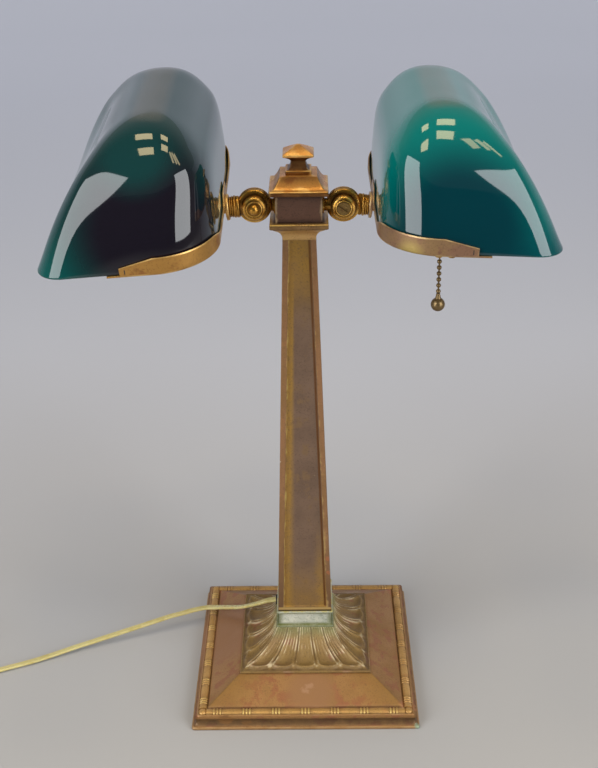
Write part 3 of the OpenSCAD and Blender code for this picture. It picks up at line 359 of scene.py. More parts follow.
# finishes of the metal parts, then of the rest
metalLooks = {
    "paintedBronze": Look(
        base=(158, 116, 70), second=(146, 106, 60), patch=(148, 96, 62), speck=(108, 76, 50), grime=(61, 45, 28),
        worn=(166, 132, 88), tint=(140, 103, 52), cloud=38, patchScale=110, patchFrom=0.5, speckScale=900,
        speckShare=0.6, metal=0.35, rough=(0.36, 0.52), bump=0.35,
        stains=(
            ((88, -88, 1), 4, (146, 160, 134)), ((-62, -87, 7), 5, (124, 86, 46)), ((-46, -87, 5), 4, (120, 84, 46)),
            ((-78, 78, 20), 10, (166, 104, 68)), ((80, 76, 18), 9, (160, 100, 66)), ((84, -72, 15), 9, (164, 112, 72)),
            ((-66, 8, 18), 50, (150, 108, 74)), ((4, -66, 18), 26, (148, 107, 70)), ((2, -62, 20), 5, (164, 124, 92)),
            ((7, -68, 18), 1.1, (186, 152, 130)), ((-18, -70, 17), 1.3, (180, 150, 126)),
            ((57, -58, 22), 0.9, (180, 160, 136)))),
    "beadBronze": Look(
        base=(196, 152, 90), second=(182, 140, 80), patch=(190, 140, 82), speck=(128, 94, 56), grime=(134, 100, 60),
        worn=(212, 184, 108), metal=0.4, rough=(0.3, 0.46), seed=2.0, wearShare=0.7),
    "skirtBronze": Look(
        base=(134, 105, 63), second=(144, 115, 65), patch=(138, 96, 64), speck=(98, 74, 46), grime=(78, 56, 34),
        worn=(204, 186, 150), tint=(132, 128, 84), metal=0.3, rough=(0.4, 0.56), seed=4.0, wearShare=0.85),
    "greyBronze": Look(
        base=(206, 204, 188), second=(178, 180, 164), patch=(148, 154, 138), speck=(132, 132, 116),
        grime=(96, 100, 48), worn=(204, 190, 116), patchScale=220, metal=0.15, rough=(0.3, 0.45), seed=6.0),
    "columnBorder": Look(
        base=(144, 104, 70), second=(134, 98, 60), patch=(148, 100, 64), speck=(116, 82, 54), grime=(74, 62, 30),
        worn=(184, 152, 94), tint=(108, 80, 54), metal=0.35, rough=(0.32, 0.48), seed=8.0, patchFrom=0.6,
        stains=(
            ((19, -20, 100), 2, (156, 98, 64)), ((18.5, -20, 112), 2.5, (154, 98, 64)),
            ((-17, -18, 200), 1.0, (196, 180, 158)))),
    "columnPanel": Look(
        base=(104, 82, 66), second=(114, 90, 72), patch=(116, 90, 64), speck=(86, 66, 52), grime=(98, 58, 18),
        worn=(190, 166, 96), tint=(150, 113, 47), metal=0.3, rough=(0.34, 0.5), seed=9.0,
        stains=(((9, -16, 187), 1.2, (196, 180, 158)),)),
    "darkBronze": Look(
        base=(106, 75, 60), second=(98, 68, 54), patch=(104, 74, 56), speck=(70, 50, 42), grime=(58, 42, 36),
        worn=(192, 162, 122), metal=0.35, rough=(0.34, 0.5), seed=12.0, wearShare=0.7),
    "plateBronze": Look(
        base=(188, 146, 92), second=(194, 154, 94), patch=(176, 128, 78), speck=(128, 96, 58), grime=(92, 64, 36),
        worn=(226, 190, 104), metal=0.45, rough=(0.26, 0.4), seed=13.0, wearShare=0.7),
    "giltBronze": Look(
        base=(206, 142, 70), second=(196, 136, 64), patch=(178, 112, 54), speck=(140, 92, 46), grime=(78, 44, 22),
        worn=(244, 200, 122), metal=0.6, rough=(0.26, 0.4), seed=15.0, speckShare=0.4),
    "swivelBrass": Look(
        base=(206, 154, 66), second=(190, 138, 58), patch=(176, 116, 52), speck=(136, 92, 42), grime=(74, 48, 26),
        worn=(236, 192, 106), metal=0.85, rough=(0.22, 0.36), seed=17.0, bump=0.12, patchFrom=0.62),
    "screwBrass": Look(
        base=(150, 120, 72), second=(136, 106, 64), patch=(124, 88, 54), speck=(92, 68, 40), grime=(54, 38, 24),
        worn=(214, 182, 120), metal=0.8, rough=(0.26, 0.4), seed=19.0),
    "socketBrass": Look(
        base=(186, 150, 78), second=(172, 134, 66), patch=(150, 110, 56), speck=(120, 90, 46), grime=(80, 58, 30),
        worn=(222, 186, 108), metal=0.85, rough=(0.24, 0.38), seed=25.0, bump=0.1),
    "chainBrass": Look(
        base=(120, 98, 64), second=(104, 84, 54), patch=(92, 72, 46), speck=(80, 62, 40), grime=(54, 42, 28),
        worn=(170, 146, 104), metal=0.7, rough=(0.3, 0.45), seed=31.0, bump=0.1),
    "castIron": Look(
        base=(74, 70, 66), second=(88, 80, 72), patch=(96, 74, 56), speck=(54, 50, 46), grime=(40, 36, 32),
        worn=(120, 112, 104), metal=0.5, rough=(0.5, 0.7), seed=27.0, bump=0.4),
    "rodSteel": Look(
        base=(150, 150, 146), second=(136, 136, 132), patch=(126, 116, 104), speck=(108, 104, 98), grime=(70, 66, 62),
        worn=(190, 190, 186), metal=0.85, rough=(0.28, 0.42), seed=29.0, bump=0.1),
    "rightHolderBrass": Look(
        base=(142, 107, 84), second=(148, 117, 80), patch=(132, 94, 74), speck=(108, 82, 60), grime=(80, 60, 40),
        worn=(196, 166, 118), metal=0.6, rough=(0.3, 0.46), seed=21.0, bump=0.15,
        stains=(((66, -106, 395), 16, (172, 148, 84)),)),
    "leftHolderBrass": Look(
        base=(176, 130, 66), second=(164, 120, 58), patch=(150, 102, 54), speck=(120, 86, 46), grime=(84, 60, 32),
        worn=(222, 184, 116), metal=0.65, rough=(0.28, 0.44), seed=23.0, bump=0.15),
}
plainLooks = {
    "feltPile": Look(
        base=(58, 70, 44), second=(70, 82, 52), speck=(44, 54, 34), grain=2600, rough=(0.9, 1.0), bump=0.6),
    "bushingRubber": Look(base=(40, 34, 29), second=(50, 43, 36), speck=(28, 24, 20), rough=(0.5, 0.62)),
    "fibreWasher": Look(base=(84, 66, 48), second=(98, 76, 54), speck=(66, 50, 36), rough=(0.7, 0.85)),
    "porcelainCore": Look(
        base=(228, 222, 208), second=(236, 230, 218), speck=(208, 198, 180), rough=(0.18, 0.3), bump=0.04,
        grainShare=0.15),
    "brownPlug": Look(base=(70, 48, 34), second=(82, 58, 40), speck=(52, 36, 26), rough=(0.34, 0.46)),
    "wovenTie": Look(
        base=(60, 52, 42), second=(72, 62, 50), speck=(40, 34, 28), grain=900, stretch=(1, 1, 6), rough=(0.8, 0.95),
        bump=0.5),
    "greenGlassRim": Look(base=(0, 92, 84), second=(10, 110, 98), speck=(0, 70, 66), rough=(0.08, 0.16), bump=0.03),
    "slitShadow": Look(base=(46, 34, 24), second=(56, 42, 30), speck=(34, 26, 20), rough=(0.6, 0.75)),
    "leadCloth": Look(
        base=(128, 98, 58), second=(112, 84, 48), speck=(84, 62, 36), grain=1400, rough=(0.7, 0.85), bump=0.5),
}
metal = {name: agedMetal(name, look) for name, look in metalLooks.items()}
plain = {name: plainFinish(name, look) for name, look in plainLooks.items()}

dress(plain["feltPile"], "felt_pad")
dress(metal["castIron"], "base_weight")
dress(metal["rodSteel"], "tie_rod", "rod_nut", "rod_washer")
dress(plain["bushingRubber"], "cord_bushing")
dress(plain["fibreWasher"], "friction_washers")
dress(metal["screwBrass"], "pivot_screws")
dress(metal["swivelBrass"], "pivot_nuts", "right_neck_nut", "left_neck_nut", "arm_nuts")
dress(metal["socketBrass"], "plug_blades", "riser_wires")
print("finishes mixed")


# flat twin cord, first in place: over the moulding, along the table and into its coil
cordLook = Look(
    width=5.2, thick=2.6, coilR=37.5, turns=3.9, pitch=4.2, layer=5.8, tail=26.0, plugZ=7.7, color=(206, 194, 136),
    second=(186, 170, 104), speck=(156, 138, 80))
cordRoute = [(-24, 4, 56), (-31, 4, 55), (-38, 6, 51), (-46, 11, 45), (-54, 18, 38), (-62, 27, 31),
             (-70, 35, 25), (-78, 41, 20.5), (-87, 44, 18), (-97, 43, 16.5), (-107, 40, 15.4), (-118, 37, 14.2),
             (-129, 33, 12.8), (-140, 29, 11.4), (-151, 25, 10), (-162, 21, 8.6), (-173, 17, 7.2), (-184, 13, 5.8),
             (-195, 9, 4.6), (-206, 4, 3.6), (-217, -1, 2.8), (-228, -6, 2.2), (-240, -11, 2), (-252, -16, 2),
             (-264, -21, 2), (-276, -25, 2.2), (-288, -29, 2.8), (-299, -32, 3.4), (-309, -35, 4), (-315, -37, 4)]


def cordSkin(look):
    s = Skin("goldenCord")
    clouds = s.noise(120, 3, 0.5)
    fine = s.noise(900, 2, 0.5)
    color = s.mix(s.spread(clouds, 0.35, 0.7), look.color, look.second)
    color = s.mix(s.maths("MULTIPLY", s.spread(fine, 0.55, 0.75), 0.35), color, look.speck)
    s.put("Base Color", color)
    s.put("Roughness", s.spread(clouds, 0.3, 0.7, 0.22, 0.36))
    s.put("Subsurface Weight", 0.25)
    s.put("Subsurface Radius", (0.004, 0.0025, 0.001))
    s.put("Subsurface Scale", 1.0)
    s.bump(fine, 0.08, 0.0003)
    return s.mat


def layCord(look):
    path = eased(cordRoute)[:-1]
    rolls = [90 * ease((i / routeSteps - 24) / 5) for i in range(len(path))]
    end = Vector(cordRoute[-1])
    ahead = ((end - Vector(cordRoute[-2])) * Vector((1, 1, 0))).normalized()
    middle = end + look.coilR * Vector((ahead.y, -ahead.x, 0))
    start = atan2(ahead.x, -ahead.y)
    inner = look.coilR - look.pitch * look.turns
    total = 2 * look.turns + 0.5
    count = round(total * 40)
    coil = []
    for i in range(count + 1):
        u = total * i / count
        if u < look.turns:
            r = look.coilR - look.pitch * u
        else:
            r = inner + look.pitch * max(0.0, u - look.turns - 0.5)
        a = start - 2 * pi * u
        coil.append(middle + Vector((r * cos(a), r * sin(a), look.layer * ease(2 * (u - look.turns)))))
    out = (coil[-1] - coil[-2]).normalized()
    tip = Vector((coil[-1].x + out.x * look.tail, coil[-1].y + out.y * look.tail, look.plugZ))
    tail = []
    for i in range(1, 9):
        u = i / 8
        p = coil[-1].lerp(tip, u)
        tail.append(Vector((p.x, p.y, coil[-1].z + (look.plugZ - coil[-1].z) * ease(u))))
    path += coil + tail
    rolls += [90] * (len(coil) + len(tail))
    lobe, half = look.thick / 2, look.width / 2 - look.thick / 2
    section, waist = [], lobe * 0.62
    for k in range(7):  # two round cores side by side with a shallow waist
        a = radians(-90 + 30 * k) if k in (0, 6) else radians(-100 + 200 * k / 6)
        section.append((half + lobe * cos(a), lobe * sin(a)))
    section.append((0, waist))
    section += [(-w, t) for w, t in reversed(section[:7])]
    section.append((0, -waist))
    shape = loft(tubeLoops(path, section, rolls))
    return shape, path, tip, out, middle, inner


cordShape, cordPath, plugTip, plugAim, coilMiddle, coilInner = layCord(cordLook)
cordPiece = piece("flatCord", cordShape, [cordSkin(cordLook)], "stand", ("cord", "cord_coil"), sharp=60)

# brown plug at the cord's end, with grip ribs and rounded shoulders
plugShapeLook = Look(
    length=28.0, width=22.0, height=15.0, shoulder=8.5, ribs=5, ribFrom=8, ribPitch=3.0, ribHeight=0.35)


def plugShape(look):
    loops, hw, hh = [], look.width / 2, look.height / 2
    steps = 36
    for i in range(steps + 1):
        x = look.length * i / steps
        grown, along = ease(x / look.shoulder), x - look.ribFrom
        ribbed = 0 < along < look.ribPitch * look.ribs
        ripple = look.ribHeight * cos(2 * pi * along / look.ribPitch) if ribbed else 0.0
        shut = 1 - 0.12 * ease((x - look.length + 1.6) / 1.6)
        w = (hw - look.ribHeight + ripple) * (0.4 + 0.6 * grown) * shut
        h = (hh - 0.05) * (0.55 + 0.45 * grown) * shut
        ring = []
        for k in range(32):
            a = 2 * pi * k / 32
            c, s = cos(a), sin(a)
            ring.append((x, w * copysign(abs(c) ** 0.5, c), h * copysign(abs(s) ** 0.5, s)))
        loops.append(ring)
    return loft(loops)


plugPlace = Matrix.Translation(plugTip) @ Matrix.Rotation(atan2(plugAim.y, plugAim.x), 4, "Z")
plugPiece = piece("cordPlug", turned(plugShape(plugShapeLook), plugPlace), [plain["brownPlug"]], "stand",
                  ("plug_body",))

# woven tie round all the turns
tieShapeLook = Look(angle=100.0, width=8.0, thick=0.8, room=0.5, bend=1.4)


def tieShape(look):
    halfW = (cordLook.coilR - coilInner + cordLook.thick) / 2 + look.room + cordLook.pitch / 4
    low = cordRoute[-1][2] - cordLook.width / 2 - look.room
    height = cordLook.layer + cordLook.width + 2 * look.room
    mid = (cordLook.coilR + coilInner) / 2
    loops = []
    for w, grow in ((-0.5, 0.0), (-0.5, 1.0), (-0.46, 1.12), (0.46, 1.12), (0.5, 1.0), (0.5, 0.0)):
        ring, g = [], look.thick * min(grow, 1.0)
        for cx, cz, a0 in ((1, -1, -90), (1, 1, 0), (-1, 1, 90), (-1, -1, 180)):
            for k in range(6):
                a = radians(a0 + 18 * k)
                r = look.bend + g
                ring.append((mid + cx * (halfW - look.bend) + r * cos(a), w * look.width,
                             low + height / 2 + cz * (height / 2 - look.bend) + r * sin(a)))
        loops.append(ring)
    place = Matrix.Translation((coilMiddle.x, coilMiddle.y, 0)) @ Matrix.Rotation(radians(look.angle), 4, "Z")
    return turned(loft(loops, joined=True), place)


tiePiece = piece("cordTie", tieShape(tieShapeLook), [plain["wovenTie"]], "stand", ("cord_tie",))
cordLength = sum((b - a).length for a, b in zip(cordPath, cordPath[1:])) * mm
[tuple(p * mm) for p in cordPath]
print("cord laid:", round(cordLength, 3), "m")


# base casting: lip, hollow face, shallow groove for the moulding, hipped panel
baseLook = Look(lip=89.0, edge=85.0, panel=76.0, top=53.0, corner=2.2)


def baseShape(look):
    lip, edge, panel, top, c = (look[k] for k in ("lip", "edge", "panel", "top", "corner"))
    profile = [(84.6, 2.5), (84.6, 0.3), (85.2, 0.0), (lip - 0.5, 0.0, 0.3, 0, c), (lip, 0.5, 0.7, 0, c),
               (lip, 1.8, 0.8, 0, c), (lip - 0.4, 2.3, 0.9, 0, c), (lip - 1.2, 2.6, 0.4, 0.3, c)]
    # the hollow face of the edge and the groove that holds the moulding are painted darker: dirt and painted shade
    profile += [(edge + 1.9 - 1.1 * sin(pi * i / 8), 3.0 + 6.6 * i / 8, 0.0, 0.8 - 0.25 * abs(i - 4) / 4, c)
                for i in range(9)]
    profile += [(edge + 0.2, 10.2, 0.2, 0.1, c), (edge, 10.8, 0.45, 0, c), (edge - 0.5, 11.3, 0.7, 0, c),
                (edge - 1.1, 11.4, 0.8, 0, c), (edge - 1.4, 11.2, 0.1, 0.5, c), (edge - 1.6, 11.0, 0, 0.6, c),
                (panel + 1.1, 11.0, 0, 0.4), (panel + 0.7, 11.3, 0, 0.5), (panel + 0.5, 12.0, 0.1, 0.4),
                (panel, 12.6, 0.35), (panel - 1.2, 13.3, 0.1)]
    profile += [(panel - 1.2 + (top + 0.8 - panel + 1.2) * u, 13.3 + (24.7 - 13.3) * u)
                for u in (0.12, 0.3, 0.45, 0.6, 0.75, 0.9)]
    profile += [(top + 0.8, 24.6, 0.15), (top, 24.95, 0.3), (top - 1.5, 25.0)]

    def paint(x, y, z):
        # gold near the front mitres and along the right side, as the light wear left it
        if z < 12.5 or y > 0:
            return 0.0
        across = abs(x) / max(abs(y), 1)
        return 0.9 * ease((across - 0.45) / 0.5) if across < 1.01 else 0.4 * (1 - ease((across - 1) / 0.25))
    return squareCasting(profile, corner=0.7, cornerWear=0.0, cuts=24, paint=paint)


piece("baseCasting", baseShape(baseLook), [metal["paintedBronze"]], "stand", ("base_shell",))

# bead-and-reel moulding in low relief: three discs to a reel, a long bead between reels
mouldingLook = Look(
    half=80.5, z=11.0, radius=3.3, flat=0.62, reels=7, discStep=2.5, discHalf=0.7, shine=(1.0, 0.35, 0.3, 0.85))


def mouldingSide(look):
    r, pitch = look.radius, 2 * look.half / look.reels
    neck = r * 0.8
    rows = []  # (x, radius, wear and painted highlight, grime and painted shade)
    for c in range(look.reels):
        mid = (c - (look.reels - 1) / 2) * pitch
        reelHalf = look.discStep + look.discHalf
        bead = []
        for i in range(9):
            u = i / 8
            bead.append((pitch / 2 - u * (pitch / 2 - reelHalf - 0.3),
                         neck + (r * 0.95 - neck) * sqrt(max(0.0, 1 - u ** 3)), 0.1, 0.5 * u ** 4))
        rows += [(mid - x, rad, w, g) for x, rad, w, g in bead]
        for d in (-1, 0, 1):
            x, h = mid + d * look.discStep, look.discHalf
            rows += [(x - h - 0.15, neck, 0, 0.6), (x - h, r - 0.35, 0.5, 0.2), (x - h * 0.5, r, 1, 0),
                     (x + h * 0.5, r, 1, 0), (x + h, r - 0.35, 0.5, 0.2), (x + h + 0.15, neck, 0, 0.6)]
        rows += [(mid + x, rad, w, g) for x, rad, w, g in reversed(bead)]
    limit = look.half - r * 0.8
    # upper halves of beads and reels carry wear with a painted highlight, lower halves painted shade
    loops = [[(x, rad * out - look.half, look.z + rad * look.flat * up, w if up > 0 else 0,
               max(g, 0.8 * ease(1 - up / 0.35))) for out, up, _ in around(1, 20, 0)]
             for x, rad, w, g in rows if abs(x) < limit]
    return loft(loops)


def mouldingShape(look):
    side = mouldingSide(look)
    r, f = look.radius * 0.99, look.flat
    ball = lathe([(r * sin(pi * i / 12), -r * f * cos(pi * i / 12), 0.4) for i in range(13)], 24)
    parts = []
    for q in range(4):
        rot = Matrix.Rotation(q * pi / 2, 4, "Z")
        bar = turned(side, rot)
        # each side's wear is scaled by shine, a painted highlight: strong on the front and left, weak on the right and
        # back
        bar["points"] = [(*p[:3], p[3] * look.shine[q], *p[4:]) for p in bar["points"]]
        parts.append(bar)
        parts.append(turned(ball, rot @ Matrix.Translation((look.half, look.half, look.z))))
    return merged(*parts)


piece("beadMoulding", mouldingShape(mouldingLook), [metal["beadBronze"]], "stand", ("bead_moulding",))

# skirt of leaves: spoon-shaped lobes with raised rims, darts between them
skirtShapeLook = Look(
    bottom=52.0, top=23.0, z=25.0, foot=1.4, rise=21.6, cell=0.4, swell=1.5, rim=1.0, scoop=1.7, rib=0.6, bulb=1.4)


def skirtShape(look):
    nu, nv = 112, 40

    def base(v):
        return (look.top + (look.bottom - look.top) * (1 - v) ** 1.5,
                look.z + look.foot + look.rise * v ** 1.7)

    def relief(u, v):
        c = abs((abs(u) + look.cell / 2) % look.cell - look.cell / 2) / (look.cell / 2)
        tipV = 0.05 + 0.13 * (1 - sqrt(max(0.0, 1 - min(1, c) ** 2)))
        inside = ease((v - tipV) / 0.05)
        rim = exp(-((c - 0.8) / 0.1) ** 2)
        lower = exp(-((v - tipV - 0.05) / 0.04) ** 2)
        edge = max(rim, lower * (1 - 0.3 * c))
        rib = max(exp(-((c - 0.42) / 0.07) ** 2), 0.8 * exp(-(c / 0.07) ** 2)) * ease((v - 0.3) / 0.15)
        fade = 1 - 0.6 * v
        hollow = max(0.0, 1 - (c / 0.8) ** 2) * ease((v - tipV - 0.05) / 0.14)
        groove = exp(-((c - 1) / 0.07) ** 2) * ease((v - 0.2) / 0.1)
        h = inside * fade * (look.swell + look.rim * edge - look.scoop * hollow) - 0.9 * groove * fade
        bulb = exp(-((1 - c) / 0.2) ** 2 - ((v - 0.13) / 0.05) ** 2)
        h += look.rib * rib + look.bulb * bulb
        # ridges and bulbs are painted lighter (wear and painted highlight); below the leaf tips, grooves and hollows
        # are painted darker (dirt and painted shade)
        wearAndHighlight = max(rim * inside * (0.75 + 0.25 * v), lower * inside * 0.5, rib * 0.85, bulb)
        below = (1 - inside) * 0.6 * ease((v - 0.02) / 0.03)
        grime = max(0.0, min(1.0, below + groove * 0.8 + hollow * 0.2 * (1 - v)))
        return h, wearAndHighlight, grime * (1 - bulb) * (1 - wearAndHighlight)

    def ring(v, flat=None):
        r0, z0 = flat or base(v)
        e = 0.004
        (ra, za), (rb, zb) = base(max(0, v - e)), base(min(1, v + e))
        t = hypot(rb - ra, zb - za)
        nr, nz = (zb - za) / t, (ra - rb) / t
        pts = []
        for q in range(4):
            for k in range(nu):
                u = 2 * k / nu - 1
                h, wearAndHighlight, grime = (0.0, 0.3, 0.0) if flat else relief(u, v)
                r, z = r0 + nr * h, z0 + nz * h
                pts.append((*quarter(u * r, -r, q), z, wearAndHighlight, grime, ease((z - 38) / 9)))  # greener towards the collar
        return pts

    b, z = look.bottom, look.z
    loops = [ring(0, flat) for flat in ((b - 9, z), (b, z), (b, z + 1.2), (b - 0.6, z + 1.7), (b - 1.4, z + 1.3))]
    loops += [ring(0.02 + 0.98 * i / nv) for i in range(nv + 1)] + [ring(1, (look.top - 3, z + 23))]
    return loft(loops)


piece("leafSkirt", skirtShape(skirtShapeLook), [metal["skirtBronze"]], "stand", ("leaf_skirt",), sharp=None)

# pale straight collar under the column, with green on its flanges and corners, and a line of painted shade under its
# top flange
collarShapeLook = Look(bottom=23.0, face=21.0, waist=20.25, top=22.5, z=48.0)


def collarShape(look):
    z, b, w, t = look.z, look.bottom, look.waist, look.top
    profile = [(b - 1.0, z), (b, z + 0.3, 0, 0.9), (b, z + 1.2, 0, 0.8), (b - 0.5, z + 1.8, 0, 0.9),
               (look.face + 0.5, z + 2.1, 0, 1.0)]
    profile += [(look.face + (w - look.face) * u, z + 2.4 + 9.9 * u, 0.0, max(0.0, 0.8 - 5 * u, 5 * u - 4.2))
                for u in (0.0, 0.08, 0.2, 0.5, 0.85, 1.0)]
    profile += [(w + 0.3, z + 12.8, 0, 1.0), (t - 0.5, z + 13.1, 0, 1.0), (t, z + 13.5, 0, 0.8),
                (t, z + 14.5, 0.4, 0.3), (t - 0.3, z + 15.0, 0.8), (t - 3, z + 15.0, 0.6)]
    return squareCasting(profile, corner=0.8, cornerWear=0.0, cornerGrime=0.7, cuts=8)


piece("footCollar", collarShape(collarShapeLook), [metal["greyBronze"]], "stand", ("foot_collar",))
print("base, moulding, skirt and collar built")

# column: raised borders beside a sunk panel on each face, which runs up to the capital
columnLook = Look(foot=21.5, head=11.85, z=63.0, height=312.0, border=4.4, rail=4.4, sink=1.2, corner=0.5, bevel=1.0)


def columnShape(look):
    z0, h, border, bevel = look.z, look.height, look.border, look.bevel
    # each face's left bevel carries wear with a painted highlight, and its right bevel painted shade, as if lit from
    # one side
    left = [(look.corner, 0.0, 0.3, 0.0), (1.5, 0.0, 0.2, 0.0), (border - 0.7, 0.0, 0.2, 0.0),
            (border, 0.12, 0.65, 0.0), (border + bevel, 1.0, 0.4, 0.0), (border + bevel + 0.8, 1.0, 0.0, 0.2),
            (border + bevel + 2.6, 1.0, 0.0, 0.0)]
    right = [(inset, sink, 0.6 if inset == border - 0.7 else 0.3 if sink < 0.05 else 0.0,
              1.0 if sink and inset < border + bevel + 0.5 else 0.0)
             for inset, sink, _, _ in left]
    rows = [(0.0, 0.0), (1.5, 0.0), (1.7, 0.0), (look.rail - 0.8, 0.0), (look.rail - 0.6, 0.0), (look.rail, 0.12),
            (look.rail + 0.6, 1.0)]
    rows += [(look.rail + 0.6 + (h - look.rail - 0.6) * i / 30, 1.0) for i in range(1, 31)]
    points, faces, kinds = [], [], []

    def half(z):
        return look.foot + (look.head - look.foot) * z / h

    def put(q, u, out, z, *marks):
        points.append((*quarter(u, -out, q), z0 + z, *marks))
        return len(points) - 1

    grids = []
    for q in range(4):
        grid = []
        for z, depth in rows:
            hw = half(z)
            ends = max(1 - ease(z / 55), ease((z - h + 70) / 60))
            low, lip = 1 - ease(z / 90), 1.3 if 1.6 < z < look.rail - 0.7 else 0.0
            # the lowest rows are painted dark: painted shadow in the gap over the collar
            foot = 1.0 if z < 1.6 else 0.0

            def strip(columns, sign, gold):
                return [put(q, sign * (hw - inset), hw - sink * depth * look.sink, z, max(w * (1 - foot), lip),
                            max(g * depth, foot), max(ends, gold) if sink else low) for inset, sink, w, g in columns]

            line = strip(left, -1, 0.9)
            line += [put(q, u * (hw - border), hw - depth * look.sink, z, lip, foot,
                         ends * (0.6 if z < h / 2 else 1.0)) for u in (-0.45, 0.0, 0.45)]
            grid.append(line + strip(reversed(right), 1, 0.9 * low))
        grids.append(grid)
        rightAt = len(left) + 3
        flatCols = (0, 1, 2, rightAt + 4, rightAt + 5, rightAt + 6)
        for i in range(len(rows) - 1):
            for k in range(len(grid[0]) - 1):
                faces.append((grid[i][k], grid[i][k + 1], grid[i + 1][k + 1], grid[i + 1][k]))
                kinds.append(0 if k in flatCols and k + 1 in flatCols + (3, rightAt + 3) or i < 3 else 1)
    edges = []
    for q in range(4):  # the four vertical edges, rounded by one middle line
        a = (q + 0.5) * pi / 2
        mids = []
        for z, _ in rows:
            out = (half(z) - look.corner * 0.3) * sqrt(2)
            mids.append(put(0, out * sin(a), out * cos(a), z, 0.3, 0.0, 1 - ease(z / 90)))
        near, far = [line[-1] for line in grids[q]], [line[0] for line in grids[(q + 1) % 4]]
        for i in range(len(rows) - 1):
            faces += [(near[i], mids[i], mids[i + 1], near[i + 1]), (mids[i], far[i], far[i + 1], mids[i + 1])]
            kinds += [0, 0]
        edges.append(mids)
    for end in (0, -1):
        faces.append(tuple(v for q in range(4) for v in grids[q][end] + [edges[q][end]]))
        kinds.append(0)
    return solid(points, faces, kinds)


piece("panelledColumn", columnShape(columnLook), [metal["columnBorder"], metal["columnPanel"]], "stand",
      ("column",), sharp=28)

# head: flared capital and plate, box, roof and finial
headLook = Look(
    columnTop=11.85, plate=20.5, flareZ=375.0, plateZ=385.0, boxZ=389.0, box=16.25, roofZ=408.5, roofTop=13.0,
    finialZ=420.8, finialTop=440.2)


def capitalShape(look):
    top, pz = look.plate, look.plateZ
    profile = [(look.columnTop - 2, look.flareZ), (look.columnTop, look.flareZ + 0.1, 0.3, 0.3)]
    foot, rise = look.flareZ + 0.3, pz - 1.0 - (look.flareZ + 0.3)
    profile += [(look.columnTop + (top - 2.6 - look.columnTop) * (i / 12) ** 2.6, foot + rise * i / 12)
                for i in range(1, 13)]
    profile += [(top - 2.2, pz - 0.4, 0, 0.8), (top - 0.7, pz + 0.1, 0, 0.9), (top, pz + 0.7, 0, 0.8),
                (top, look.boxZ - 1.0, 0, 0.7), (top - 0.2, look.boxZ - 0.4, 0.9), (top - 0.7, look.boxZ - 0.05, 0.9),
                (top - 1.6, look.boxZ, 0.3), (look.box + 1.0, look.boxZ, 0, 0.9), (10, look.boxZ)]
    return squareCasting(profile, corner=0.8, cornerWear=0.4)


def boxShape(look):
    b, z0, z1 = look.box, look.boxZ + 0.02, look.roofZ - 0.02
    profile = [(b - 1, z0), (b, z0, 0, 1.0), (b, z0 + 1.0, 0, 0.6), (b, z0 + 4), (b, (z0 + z1) / 2), (b, z1 - 4),
               (b, z1 - 1.0, 0, 0.6), (b, z1, 0, 1.0), (b - 1, z1)]
    return squareCasting(profile, corner=0.6, cornerWear=0.8)


def roofShape(look):
    top, z = look.plate, look.roofZ
    profile = [(look.box - 1, z), (look.box + 0.5, z, 0, 1.0), (top - 0.7, z + 0.1, 0, 1.0), (top, z + 0.7, 0, 0.9),
               (top, z + 2.9, 0, 0.8), (top - 0.2, z + 3.5, 1.0), (top - 0.6, z + 3.8, 0.9), (top - 1.3, z + 3.9, 0.6)]
    # the slope is painted lighter low down and darker near the top: painted highlight and painted shade
    profile += [(top - 1.6 + (look.roofTop - top + 1.6) * (i / 12) ** 0.6, z + 3.9 + 8.3 * i / 12,
                 0.75 * max(0.0, 1 - i / 7), 0.5 * ease((i - 5) / 6)) for i in range(1, 13)]
    profile += [(look.roofTop - 0.4, look.finialZ, 0.5), (6, look.finialZ)]
    return squareCasting(profile, corner=0.8, cornerWear=0.7)


def finialShape(look):
    z, top = look.finialZ, look.finialTop
    profile = [(7, z), (8.7, z, 0, 0.9), (9.0, z + 0.4, 0, 0.8), (9.0, z + 2.3, 0, 0.7), (8.9, z + 2.7, 0.9),
               (8.5, z + 3.0, 0.8)]
    # the waist under the knob is painted dark: painted shade
    profile += [(6.9 + (4.9 - 6.9) * (i / 6) ** 0.5, z + 3.1 + 5.7 * i / 6, 0, 1.0) for i in range(7)]
    profile += [(6.4, z + 10.4, 0, 1.0), (9.2, z + 12.1, 0, 0.7), (10.4, z + 12.6, 0.7), (10.7, z + 13.1, 0.9),
                (10.7, z + 13.9, 0.9), (10.3, z + 14.4, 0.7), (5.4, z + 17.2, 0.3), (1.4, top - 0.2, 0.5),
                (0.4, top, 0.8)]
    return squareCasting(profile, corner=0.7, cornerWear=0.5)


piece("flaredCapital", capitalShape(headLook), [metal["plateBronze"]], "stand", ("capital",))
piece("headBox", boxShape(headLook), [metal["darkBronze"]], "stand", ("head_box",))
piece("roofCap", roofShape(headLook), [metal["giltBronze"]], "stand", ("roof_cap",))
piece("finialKnob", finialShape(headLook), [metal["giltBronze"]], "stand", ("finial",), sharp=40)
print("column and head built")


# frames of the two sides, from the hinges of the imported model
sidePoses = {"right": {"tilt": 2.5, "turn": 1.0, "spin": 0.0}, "left": {"tilt": 4.0, "turn": -5.5, "spin": 180.0}}


def armFrame(side):
    x, y, z = (c / mm for c in hinges["right_tilt"]["pos_m"])
    return Matrix.Rotation(radians(sidePoses[side]["spin"]), 4, "Z") @ Matrix.Translation((x, y, z))


def swivelFrame(side):
    return armFrame(side) @ Matrix.Rotation(radians(sidePoses[side]["tilt"]), 4, "Y")


def holderFrame(side):
    return swivelFrame(side) @ Matrix.Rotation(radians(sidePoses[side]["turn"]), 4, "X")


alongX = Matrix.Rotation(pi / 2, 4, "Y")
alongY = Matrix.Rotation(-pi / 2, 4, "X")
alongBackY = Matrix.Rotation(pi / 2, 4, "X")

